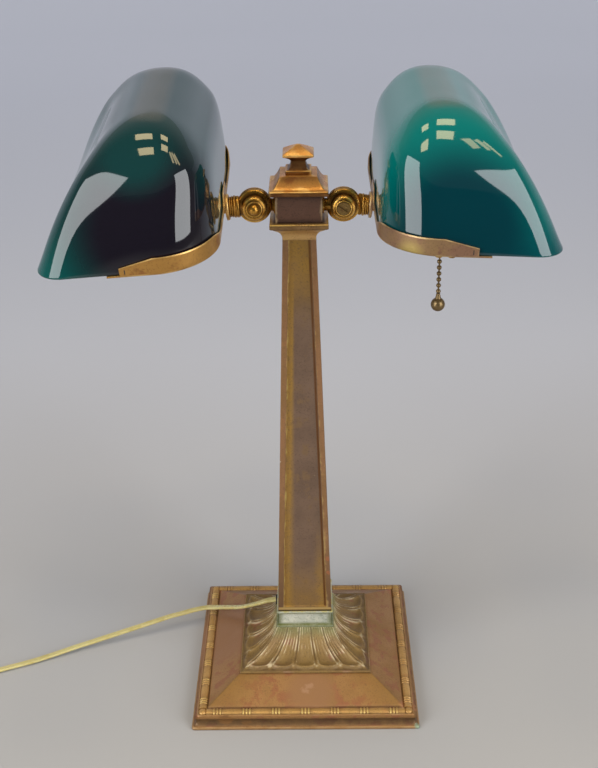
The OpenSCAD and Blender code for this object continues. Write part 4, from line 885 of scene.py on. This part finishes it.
# swivel: a ball split into two halves on a screw, a groove turned in each, a ringed neck towards the shade
swivelShapeLook = Look(
    radius=12.2, half=11.0, domeAt=0.06, split=0.5, flat=5.4, groove=3.8, drum=8.4, stub=4.6, neck=7.8, boxFace=14.75,
    clearance=12.72, hornAt=14.8, neckEnd=17.55)


def ballHalf(look, screwSink):
    r, s, g, top = look.radius, look.split, look.groove, look.half

    def at(y, cut=0.0):
        return sqrt(r * r - (y - look.domeAt) ** 2) - cut

    d = look.drum
    profile = [(3.2, s), (r - 0.6, s, 0, 0.8), (r - 0.12, s + 0.25, 0.6)]
    profile += [(at(y), y, 0.1) for y in (s + 0.7, 1.8, 2.5, 3.1)]
    profile += [(at(g - 0.35), g - 0.35, 0.8), (at(g, 0.3), g, 0.7), (d + 1.2, g + 0.35, 0, 0.7),
                (d + 0.2, g + 0.4, 0, 1), (d, g + 0.8, 0, 1), (d, g + 1.8, 0, 0.3), (d, 8.0, 0.1), (d - 0.1, 8.8, 0.6),
                (d - 0.4, 9.4, 0.9), (d - 0.9, 9.9, 0.8), (d - 1.6, 10.2, 0.2), (look.flat + 0.9, 10.4, 0, 0.8),
                (look.flat + 0.5, 10.5, 0, 1.0), (look.flat + 0.2, top - 0.2, 0.6), (look.flat - 0.15, top, 0.9),
                (4.9, top, 0.6), (4.75, top - 0.2, 0, 0.6)]
    if screwSink:
        profile += [(4.75, top - screwSink, 0, 1), (3.2, top - screwSink, 0, 1)]
    else:
        profile.append((3.3, top - 0.2, 0, 0.6))
    return lathe(profile, 56)


def halfTurned(profile, ySign):
    # half a turned bar beside the split, so that the two halves clear each other; rows of (radius, x, wear and painted
    # highlight, grime and painted shade)
    return loft([[(x, ySign * max(0.5, r * sin(pi * k / 20)), r * cos(pi * k / 20), *marks) for k in range(21)]
                 for r, x, *marks in profile])


def ringRows(lo, hi, r, root):
    # one rounded ring of a turned neck
    mid, h = (lo + hi) / 2, (hi - lo) / 2
    rows = [(root, lo + 0.02, 0, 1)]
    rows += [(root + (r - root) * sin(pi * i / 10) ** 0.6, mid - h * cos(pi * i / 10), 0.4 if 3 < i < 7 else 0.0, 0.35)
             for i in range(1, 10)]
    return rows + [(root, hi - 0.02, 0, 1)]


def armShape(look):
    stub, face, clear = look.stub, look.boxFace, look.clearance
    bar = lathe([(stub, -face), (stub + 1.5, -face, 0.3), (stub + 1.8, -face + 0.3, 0.8),
                 (stub + 1.8, -face + 1.0, 0.8), (stub + 1.3, -face + 1.4, 0.4), (stub, -face + 1.6, 0, 0.8),
                 (stub, -clear), (stub - 0.6, -clear)])
    tail = lathe([(4.0, -23.2), (4.0, -face)], 24)
    half = halfTurned([(stub, -clear - 0.5, 0, 0.5), (stub, -9.0, 0, 0.5)], -1)
    return merged(turned(ballHalf(look, 2.0), alongBackY), turned(bar, alongX), turned(tail, alongX), half)


def knuckleShape(look):
    neck, clear = look.neck, look.clearance
    core, at = neck - 2.4, look.hornAt
    horn = lathe([(core, clear)] + ringRows(clear, at, neck, neck - 1.6) + [(core, at)], 48)
    stud = lathe([(3.2, at), (3.2, 24.0), (2.2, 24.4)], 24)
    half = halfTurned([(neck - 0.6, 8.4, 0, 0.6)] + ringRows(10.2, clear + 0.3, neck, neck - 1.2), 1)
    return merged(turned(ballHalf(look, 0.0), alongY), turned(horn, alongX), turned(stud, alongX), half)


def ringsShape(look):
    a, b, n = look.hornAt + 0.02, look.neckEnd, look.neck
    mid = (a + b) / 2
    return lathe([(3.6, a)] + ringRows(a, mid, n - 0.3, n - 1.8) + ringRows(mid, b, n - 0.6, n - 1.8) + [(3.6, b)], 48)


for side in sidePoses:
    for name, shape, place, body, node in (
            ("SwivelArm", armShape, armFrame(side), "stand", "_arm"),
            ("SwivelKnuckle", knuckleShape, swivelFrame(side), side + "_swivel", "_knuckle"),
            ("NeckRings", ringsShape, swivelFrame(side) @ alongX, side + "_swivel", "_neck_rings")):
        piece(side + name, turned(shape(swivelShapeLook), place), [metal["swivelBrass"]], body,
              (side + node,), sharp=40)
print("swivels built")


# glass shade: three sections, over the inner wall, the outer flank and the ends, blended by direction
shadeLook = Look(
    gap=21.2, length=210.0, height=82.0, crown=39.0, slope=55.5, end=60.0, full=1.9, innerCorner=38.5,
    outerCorner=20.0, glass=3.4, lift=4.8, soft=12.0)


def arcPoints(cx, cy, r, a0, a1, n):
    return [(cx + r * cos(radians(a0 + (a1 - a0) * i / n)), cy + r * sin(radians(a0 + (a1 - a0) * i / n)))
            for i in range(1, n + 1)]


def linePoints(a, b, n):
    return [(a[0] + (b[0] - a[0]) * i / n, a[1] + (b[1] - a[1]) * i / n) for i in range(1, n + 1)]


def shadeShape(look):
    r, slope, g, hl = look.crown, radians(look.slope), look.gap, look.length / 2
    oc, ic = look.outerCorner, look.innerCorner
    spine, upright, lean = g + r, look.height - r, pi / 2 - slope
    wall = upright + r * sin(lean)
    out, flank = r * cos(lean) + wall / tan(slope), wall / sin(slope)
    nSide, nCorner, nEnd, rows, passes, stop = 36, 22, 16, 44, 45, 0.965

    def innerSection(t):
        run = t * (upright + r * pi / 2)
        if run < upright:
            return 1.0, run
        a = (run - upright) / r
        return cos(a), upright + r * sin(a)

    def outerSection(t):
        run = t * (flank + r * slope)
        if run < flank:
            return 1 - run * cos(slope) / out, run * sin(slope)
        a = lean + (run - flank) / r
        return r * cos(a) / out, upright + r * sin(a)

    def endSection(t):
        e = 2 / look.full
        return cos(pi / 2 * t) ** e, look.height * sin(pi / 2 * t) ** e

    p, front = spine + out, (spine, -hl)
    outer = [front] + linePoints(front, (p - oc, -hl), nEnd) + arcPoints(p - oc, oc - hl, oc, -90, 0, nCorner)
    outer += linePoints((p, oc - hl), (p, hl - oc), nSide) + arcPoints(p - oc, hl - oc, oc, 0, 90, nCorner)
    outer += linePoints((p - oc, hl), (spine, hl), nEnd)
    n = nCorner + nEnd - 1
    inner = [front, (g + ic, -hl)] + arcPoints(g + ic, ic - hl, ic, 270, 180, n)
    inner += linePoints((g, ic - hl), (g, hl - ic), nSide) + arcPoints(g + ic, hl - ic, ic, 180, 90, n) + [(spine, hl)]
    m = len(outer) - 1
    ring = outer + [inner[k] for k in range(m - 1, 0, -1)]
    spineHalf = hl - look.end

    def point(rim, t):
        q = max(-spineHalf, min(spineHalf, rim[1]))
        ox, oy = rim[0] - spine, rim[1] - q
        dx, dy = abs(ox) / (out if ox >= 0 else r), abs(oy) / look.end
        w = dy * dy / (dx * dx + dy * dy + 1e-9)
        s, e = outerSection(t) if ox >= 0 else innerSection(t), endSection(t)
        b0, b1 = s[0] * (1 - w) + e[0] * w, s[1] * (1 - w) + e[1] * w
        return spine + ox * b0, q + oy * b0, b1

    grid = np.array([[point(rim, stop * i / rows) for rim in ring] for i in range(rows + 1)])
    give = np.array([0.5 * (1 - ease((i / rows - 0.6) / 0.25)) for i in range(1, rows)])[:, None, None]
    for _ in range(passes):  # the blend's creases are eased, with the rim and the crown held
        near = (np.roll(grid, 1, 1) + np.roll(grid, -1, 1))[1:-1] + grid[:-2] + grid[2:]
        grid[1:-1] += give * (0.25 * near - grid[1:-1])
    n = len(ring)
    verts = [tuple(float(c) for c in p) for row in grid for p in row]
    faces = loft(grid, capped=False)["faces"]
    top, ridge = rows * n, len(verts)
    for k in range(1, m):  # a middle line closes the crown
        (_, y, z), (_, v, w) = verts[top + k], verts[top + n - k]
        y = min(max((y + v) / 2, verts[top][1] + 0.05 * k), verts[top + m][1] - 0.05 * (m - k))
        verts.append((spine, y, (z + w) / 2))
    middle = [top] + list(range(ridge, ridge + m - 1)) + [top + m]
    for k in range(m):
        c, d = top + (n - k - 1) % n, top + (n - k) % n
        for quad in ((top + k, top + k + 1, middle[k + 1], middle[k]), (middle[k], middle[k + 1], c, d)):
            faces.append(tuple(dict.fromkeys(quad)))
    verts = softCrown(look, verts, faces)
    return solid([(x, y, z + look.lift) for x, y, z in verts], faces)


def softCrown(look, verts, faces):
    # a parabola fitted to the heights round each point of the crown takes out the crease between ends and barrel
    tree = BVHTree.FromPolygons([Vector(v) for v in verts], faces)
    p = np.array(verts)
    xs, ys = (np.arange(p[:, k].min(), p[:, k].max(), 2.0) for k in (0, 1))
    field = np.zeros((len(ys), len(xs)))
    for i, y in enumerate(ys):
        for j, x in enumerate(xs):
            hit = tree.ray_cast(Vector((x, y, 300)), Vector((0, 0, -1)))[0]
            field[i, j] = hit.z if hit else 0.0
    known = (field > look.height * 0.5).astype(float)
    field *= known
    top = np.where(p[:, 2] > look.height * 0.6)[0]
    dx, dy = (xs - p[top, :1]) / look.soft, (ys - p[top, 1:2]) / look.soft
    wx, wy = np.exp(-dx ** 2 / 2), np.exp(-dy ** 2 / 2)

    def moment(cells, i, j):
        return (((wy * dy ** j) @ cells) * (wx * dx ** i)).sum(1)

    powers = ((0, 0), (1, 0), (0, 1), (2, 0), (1, 1), (0, 2))
    left = np.array([[moment(known, a + c, b + d) for c, d in powers] for a, b in powers]).transpose(2, 0, 1)
    right = np.array([moment(field, a, b) for a, b in powers]).T
    fitted = np.linalg.solve(left, right[..., None])[:, 0, 0]
    share = np.clip((p[top, 2] / look.height - 0.62) / 0.2, 0, 1)
    p[top, 2] += (fitted - p[top, 2]) * share * share * (3 - 2 * share)
    return [tuple(float(c) for c in v) for v in p]


# each side's colours by height and dark patches at the near end are painted light, painted shade and dark painted
# reflection, so the two sides differ
glassLook = Look(
    right=Look(top=(0, 106, 100), mid=(0, 108, 103), low=(0, 70, 74), haze=0.42,
               stains=(((100, -108, 415), 70, (0, 46, 54)),)),
    left=Look(top=(8, 50, 49), mid=(0, 66, 64), low=(0, 78, 74), haze=0.36,
              stains=(((-88, -108, 415), 84, (20, 17, 26)), ((-100, -78, 455), 34, (10, 50, 50)))))


def casedGlass(name, look, lowZ, highZ):
    # green glass with painted light and shade: colour by height and placed dark patches stand for how light falls and
    # what the glass reflects; its own clouds, and a little dust lying on top
    s = Skin(name)
    clouds = s.noise(22, 3, 0.5, stretch=(1.0, 0.4, 1.0))
    dustNoise = s.noise(240, 3, 0.6, stretch=(1.0, 0.15, 1.0))
    height = s.maths("ADD", s.axes()["Z"], s.maths("MULTIPLY", clouds, 0.02))
    span = highZ - lowZ
    color = s.mix(s.spread(height, lowZ + span * 0.1, lowZ + span * 0.5), look.low, look.mid)
    color = s.mix(s.spread(height, lowZ + span * 0.5, lowZ + span * 0.9), color, look.top)
    for place, reach, patchTone in look.stains:
        color = s.mix(s.near(place, reach), color, patchTone)
    up = s.axes(s.add("TexCoord").outputs["Normal"])["Z"]
    dust = s.maths("MULTIPLY", s.spread(up, 0.92, 0.995, 0.0, look.haze), s.spread(dustNoise, 0.3, 0.7, 0.8, 1.0))
    color = s.mix(dust, color, (112, 102, 92))
    s.put("Base Color", color)
    s.put("Roughness", s.spread(dust, 0.0, 0.4, 0.04, 0.16))
    s.put("IOR", 1.6)
    return s.mat


def opalGlass(name, lit):
    s = Skin(name)
    clouds = s.noise(50, 3, 0.5)
    s.put("Base Color", s.mix(s.spread(clouds, 0.3, 0.7), lit, (232, 230, 220)))
    s.put("Roughness", s.spread(clouds, 0.3, 0.7, 0.14, 0.24))
    s.bump(clouds, 0.03, 0.001)
    return s.mat


opalSkin = opalGlass("opalLining", (240, 240, 234))
for side in sidePoses:
    low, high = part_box(side + "_shade")
    glass = casedGlass(side + "CasedGlass", glassLook[side], low[2], high[2])
    shade = piece(side + "GlassShade", turned(shadeShape(shadeLook), holderFrame(side)),
                  [glass, opalSkin, plain["greenGlassRim"]], side + "_head",
                  (side + "_shade",), sharp=None)
    wall = shade.modifiers.new("glassWall", "SOLIDIFY")
    wall.thickness = shadeLook.glass * mm
    wall.offset = -1
    wall.material_offset, wall.material_offset_rim = 1, 2
    soft = shade.modifiers.new("softRim", "BEVEL")
    soft.width, soft.segments, soft.limit_method, soft.angle_limit = 0.0008, 2, "ANGLE", radians(60)
print("shades blown")


# brass holder: a wall round the column side of the rim, on a flange that carries the glass
holderLook = Look(
    bottom=3.6, flange=1.1, wall=10.5, out=1.5, inside=0.45, reach=81.0, run=8.5, flangeWidth=7.0, boss=9.25,
    bossAt=17.7, slitAt=77.6, slit=3.2)


def rimPath(reach, grow):
    # the rim's plan on the column side, from the front end round to the far end, grown outwards
    hl, g, ic = shadeLook.length / 2, shadeLook.gap, shadeLook.innerCorner
    pts = [(reach, -hl - grow)] + linePoints((reach, -hl - grow), (g + ic, -hl - grow), 6)
    pts += arcPoints(g + ic, ic - hl, ic + grow, 270, 180, 26)
    pts += linePoints((g - grow, ic - hl), (g - grow, hl - ic), 40)
    pts += arcPoints(g + ic, hl - ic, ic + grow, 180, 90, 26)
    pts += linePoints((g + ic, hl + grow), (reach, hl + grow), 6)
    return pts


def bandSweep(section, look, reach):
    # section points are (grow, height, wear and painted highlight, grime and painted shade); the ends are closed
    lines = [rimPath(reach, s[0]) for s in section]
    loops = []
    seat, corner = look.bottom + look.flange, shadeLook.gap + shadeLook.innerCorner
    straight = shadeLook.length / 2 - shadeLook.innerCorner
    for k in range(len(lines[0])):
        x, y = lines[0][k]
        if x > corner:
            full = 1 - 0.5 * (x - corner) / (reach - corner)
        else:
            full = 1 - 0.8 * ease((straight + 16 - abs(y)) / 34)
        full = max(full, 1 - ease((abs(y) - 10) / 6))  # full height again behind the boss
        notch = 0.98 * max(0.0, 1 - abs(y) / 3.3)  # room for the neck's nut
        ends = 0.5 if k in (0, len(lines[0]) - 1) else 0.0
        ring = []
        for (px, py), (grow, h, wearAndHighlight, grime) in zip((line[k] for line in lines), section):
            lift = notch * max(0.0, seat - 0.1 - h) if grow < 1 else 0.0
            ring.append((px, py, h + lift if h <= seat else seat + (h - seat) * full, max(ends, wearAndHighlight), grime))
        loops.append(ring)
    return loft(loops)


def holderShape(look):
    b, o, i, edge = look.bottom, look.out, look.inside, look.flangeWidth
    seat, at, boss = b + look.flange, look.bossAt, look.boss
    top = seat + look.wall
    wall = [(o - 0.35, top + 0.1, 0.9, 0), (o, top - 0.25, 0.9, 0), (o, top - 1.2, 0.1, 0), (o, b + 4.0, 0, 0),
            (o, b + 1.7, 0.2, 0), (o - 0.12, b + 0.9, 0.7, 0), (o - 0.42, b + 0.35, 0.8, 0),
            (o - 0.9, b + 0.06, 0.3, 0), (i - 0.6, b, 0, 0.2), (i - 0.6, seat - 0.2, 0, 0.4), (i, seat, 0, 1),
            (i, top - 0.2, 0, 0.6), (i + 0.3, top + 0.1, 0.6, 0)]
    lip = [(o - 0.7, b + 0.12, 0.4, 0), (o - 0.6, seat - 0.25, 0.5, 0), (o - 0.8, seat, 0.3, 0.2),
           (0.3 - edge, seat, 0, 0.4), (-edge, b + 0.8, 0.4, 0), (0.3 - edge, b + 0.12, 0.3, 0)]
    bossRows = [(4.6, at + 1.0), (4.8, at + 0.1, 0.2, 0), (boss - 1.0, at, 0.5), (boss - 0.25, at + 0.25, 0.9),
                (boss, at + 0.8, 0.8), (boss, at + 2.0, 0.4), (boss - 0.4, at + 2.2), (4.6, at + 3.0)]
    return merged(bandSweep(wall, look, look.reach), bandSweep(lip, look, look.reach + look.run),
                  turned(lathe(bossRows, 48), alongX))


def slitShape(look):
    # a thin dark sheet of painted shadow near each end of the wall, where a notch is
    parts = []
    outline = ((-1, 0.05), (-1, 0.95), (0, 1), (1, 0.95), (1, 0.05), (0, 0))
    x, z = look.slitAt, look.bottom + 2.2
    for end in (-1, 1):
        y = end * (shadeLook.length / 2 + look.out)
        parts.append(loft([[(x + dx * w, y + end * d, z + dz * look.slit) for dx, dz in outline]
                           for w, d in ((0.36, -0.5), (0.36, 0.0), (0.3, 0.03))]))
    return merged(*parts)


for side in sidePoses:
    brass, place = metal[side + "HolderBrass"], holderFrame(side)
    piece(side + "ShadeHolder", turned(holderShape(holderLook), place), [brass], side + "_head",
          (side + "_holder",), sharp=45)
    piece(side + "HolderSlit", turned(slitShape(holderLook), place), [plain["slitShadow"]], side + "_head",
          sharp=45)
    dress(brass, side + "_bracket")
    dress(metal["socketBrass"], *(side + end for end in (
        "_rivets", "_socket_cap", "_socket_nut", "_socket_shell", "_bulb_cap", "_pull_stem")))
    dress(metal["chainBrass"], side + "_chain")
    dress(plain["porcelainCore"], side + "_socket_core")

# cloth-covered lead from the neck to each socket
leadLook = Look(
    radius=1.5,
    route=[(25.2, 0, 0), (27.7, 0, 0), (30.2, -1.5, 0.5), (32.2, -5, 2), (33.7, -12, 5), (34.7, -22, 9),
           (35.2, -34, 14), (35.2, -46, 19), (35.2, -58, 24), (35.2, -68, 27), (38.23, -76, 28.6),
           (40.23, -80.2, 28.6), (42.73, -82, 28.6), (45.23, -82, 28.6)])
for side in sidePoses:
    path = eased(leadLook.route)
    section = [p[:2] for p in around(leadLook.radius, 12, 0)]
    piece(side + "LeadCloth", turned(loft(tubeLoops(path, section, [0.0] * len(path))), holderFrame(side)),
          [plain["leadCloth"]], side + "_head", (side + "_lead",), sharp=None)
dress(opalGlass("bulbGlass", (244, 236, 216)), "right_bulb_glass", "left_bulb_glass")
print("holders and lamps dressed")


# stage: one pale floor that curves up all round, softboxes in front, a bright back, small warm ceiling lamps
stageLook = Look(
    near=(175, 173, 173), far=(181, 184, 196), front=(104, 103, 102), back=0.36, ahead=0.12, wall=0.3, fill=0.33,
    farFill=0.2, boxPower=23.5, barPower=4.0, sidePower=0.9, ceiling=2.4, cool=(0.95, 0.98, 1.0),
    warm=(1.0, 0.8, 0.45))


def setFloor(look):
    wall = ((0.05, -0.2), (400, -0.2), (1200, -0.2), (2200, -0.2), (2700, 40), (3050, 220), (3250, 600), (3350, 1200),
            (3400, 2200))
    shape = loft([around(r, 96, z) for r, z in wall], capped=False)
    s = Skin("palePaper")
    axes = s.axes()
    depth, clouds = axes["Y"], s.noise(1.6, 3, 0.5)
    run = s.maths("ADD", depth, s.maths("MULTIPLY", clouds, 0.3))
    paper = s.mix(s.spread(run, -2.2, -0.4), look.front, look.near)
    s.put("Base Color", s.mix(s.spread(run, -0.1, 1.6), paper, look.far))
    s.put("Roughness", s.spread(clouds, 0.3, 0.7, 0.85, 0.95))
    s.bump(s.noise(300, 3, 0.5), 0.02, 0.0005)
    ray = s.add("LightPath").outputs
    seen = s.maths("MAXIMUM", s.maths("MAXIMUM", ray["Is Camera Ray"], ray["Is Glossy Ray"]),
                   ray["Is Transmission Ray"])
    rise = s.maths("ADD", s.spread(depth, -0.1, 0.7, 0.0, look.fill), s.spread(depth, 0.6, 2.6, 0.0, look.farFill))
    glow = s.maths("MULTIPLY", s.spread(axes["Z"], 0.3, 1.0, 0.0, look.wall), s.spread(depth, 0.3, 1.8))
    s.put("Emission Color", tone(look.far))
    s.put("Emission Strength", s.maths("ADD", s.maths("MULTIPLY", seen, rise), glow))
    floor = meshed("studioFloor", shape, [s.mat])


def setLamp(name, place, aim, width, height, power, color):
    data = bpy.data.lights.new(name, "AREA")
    data.shape = "RECTANGLE"
    data.size, data.size_y = width, height
    data.energy, data.color = power, color
    lamp = linked(name, data)
    lamp.location = place
    lamp.rotation_euler = (Vector(aim) - Vector(place)).to_track_quat("-Z", "Y").to_euler()


def setWorld(look):
    scene.world = bpy.data.worlds.new("studioWorld")
    s = Skin("studioWorld", scene.world)
    s.put("Color", (0.96, 0.98, 1.0, 1))
    s.put("Strength", s.spread(s.axes()["Y"], -0.1, 0.7, look.ahead, look.back))


setFloor(stageLook)
setWorld(stageLook)
for sign, name in ((-1, "leftSoftbox"), (1, "rightSoftbox")):
    setLamp(name, (sign * 1.15, -0.95, 0.85), (0, 0, 0.42), 1.0, 1.5, stageLook.boxPower, stageLook.cool)
for name, x, y in (("rightFront", 0.36, -0.68), ("rightBack", 0.36, 0.0), ("leftFront", -0.5, -0.95),
                   ("leftBack", -0.5, -0.1)):
    setLamp(name + "CeilingPanel", (x, y, stageLook.ceiling), (x, y, 0), 0.45, 0.38, stageLook.barPower,
            stageLook.warm)
for k in range(3):
    setLamp("sideBar" + "ABC"[k], (0.85 + 0.22 * k, -0.9 + 0.1 * k, stageLook.ceiling), (0.5, -0.4, 0.4), 0.16, 0.34,
            stageLook.sidePower, stageLook.warm)
print("stage lit")
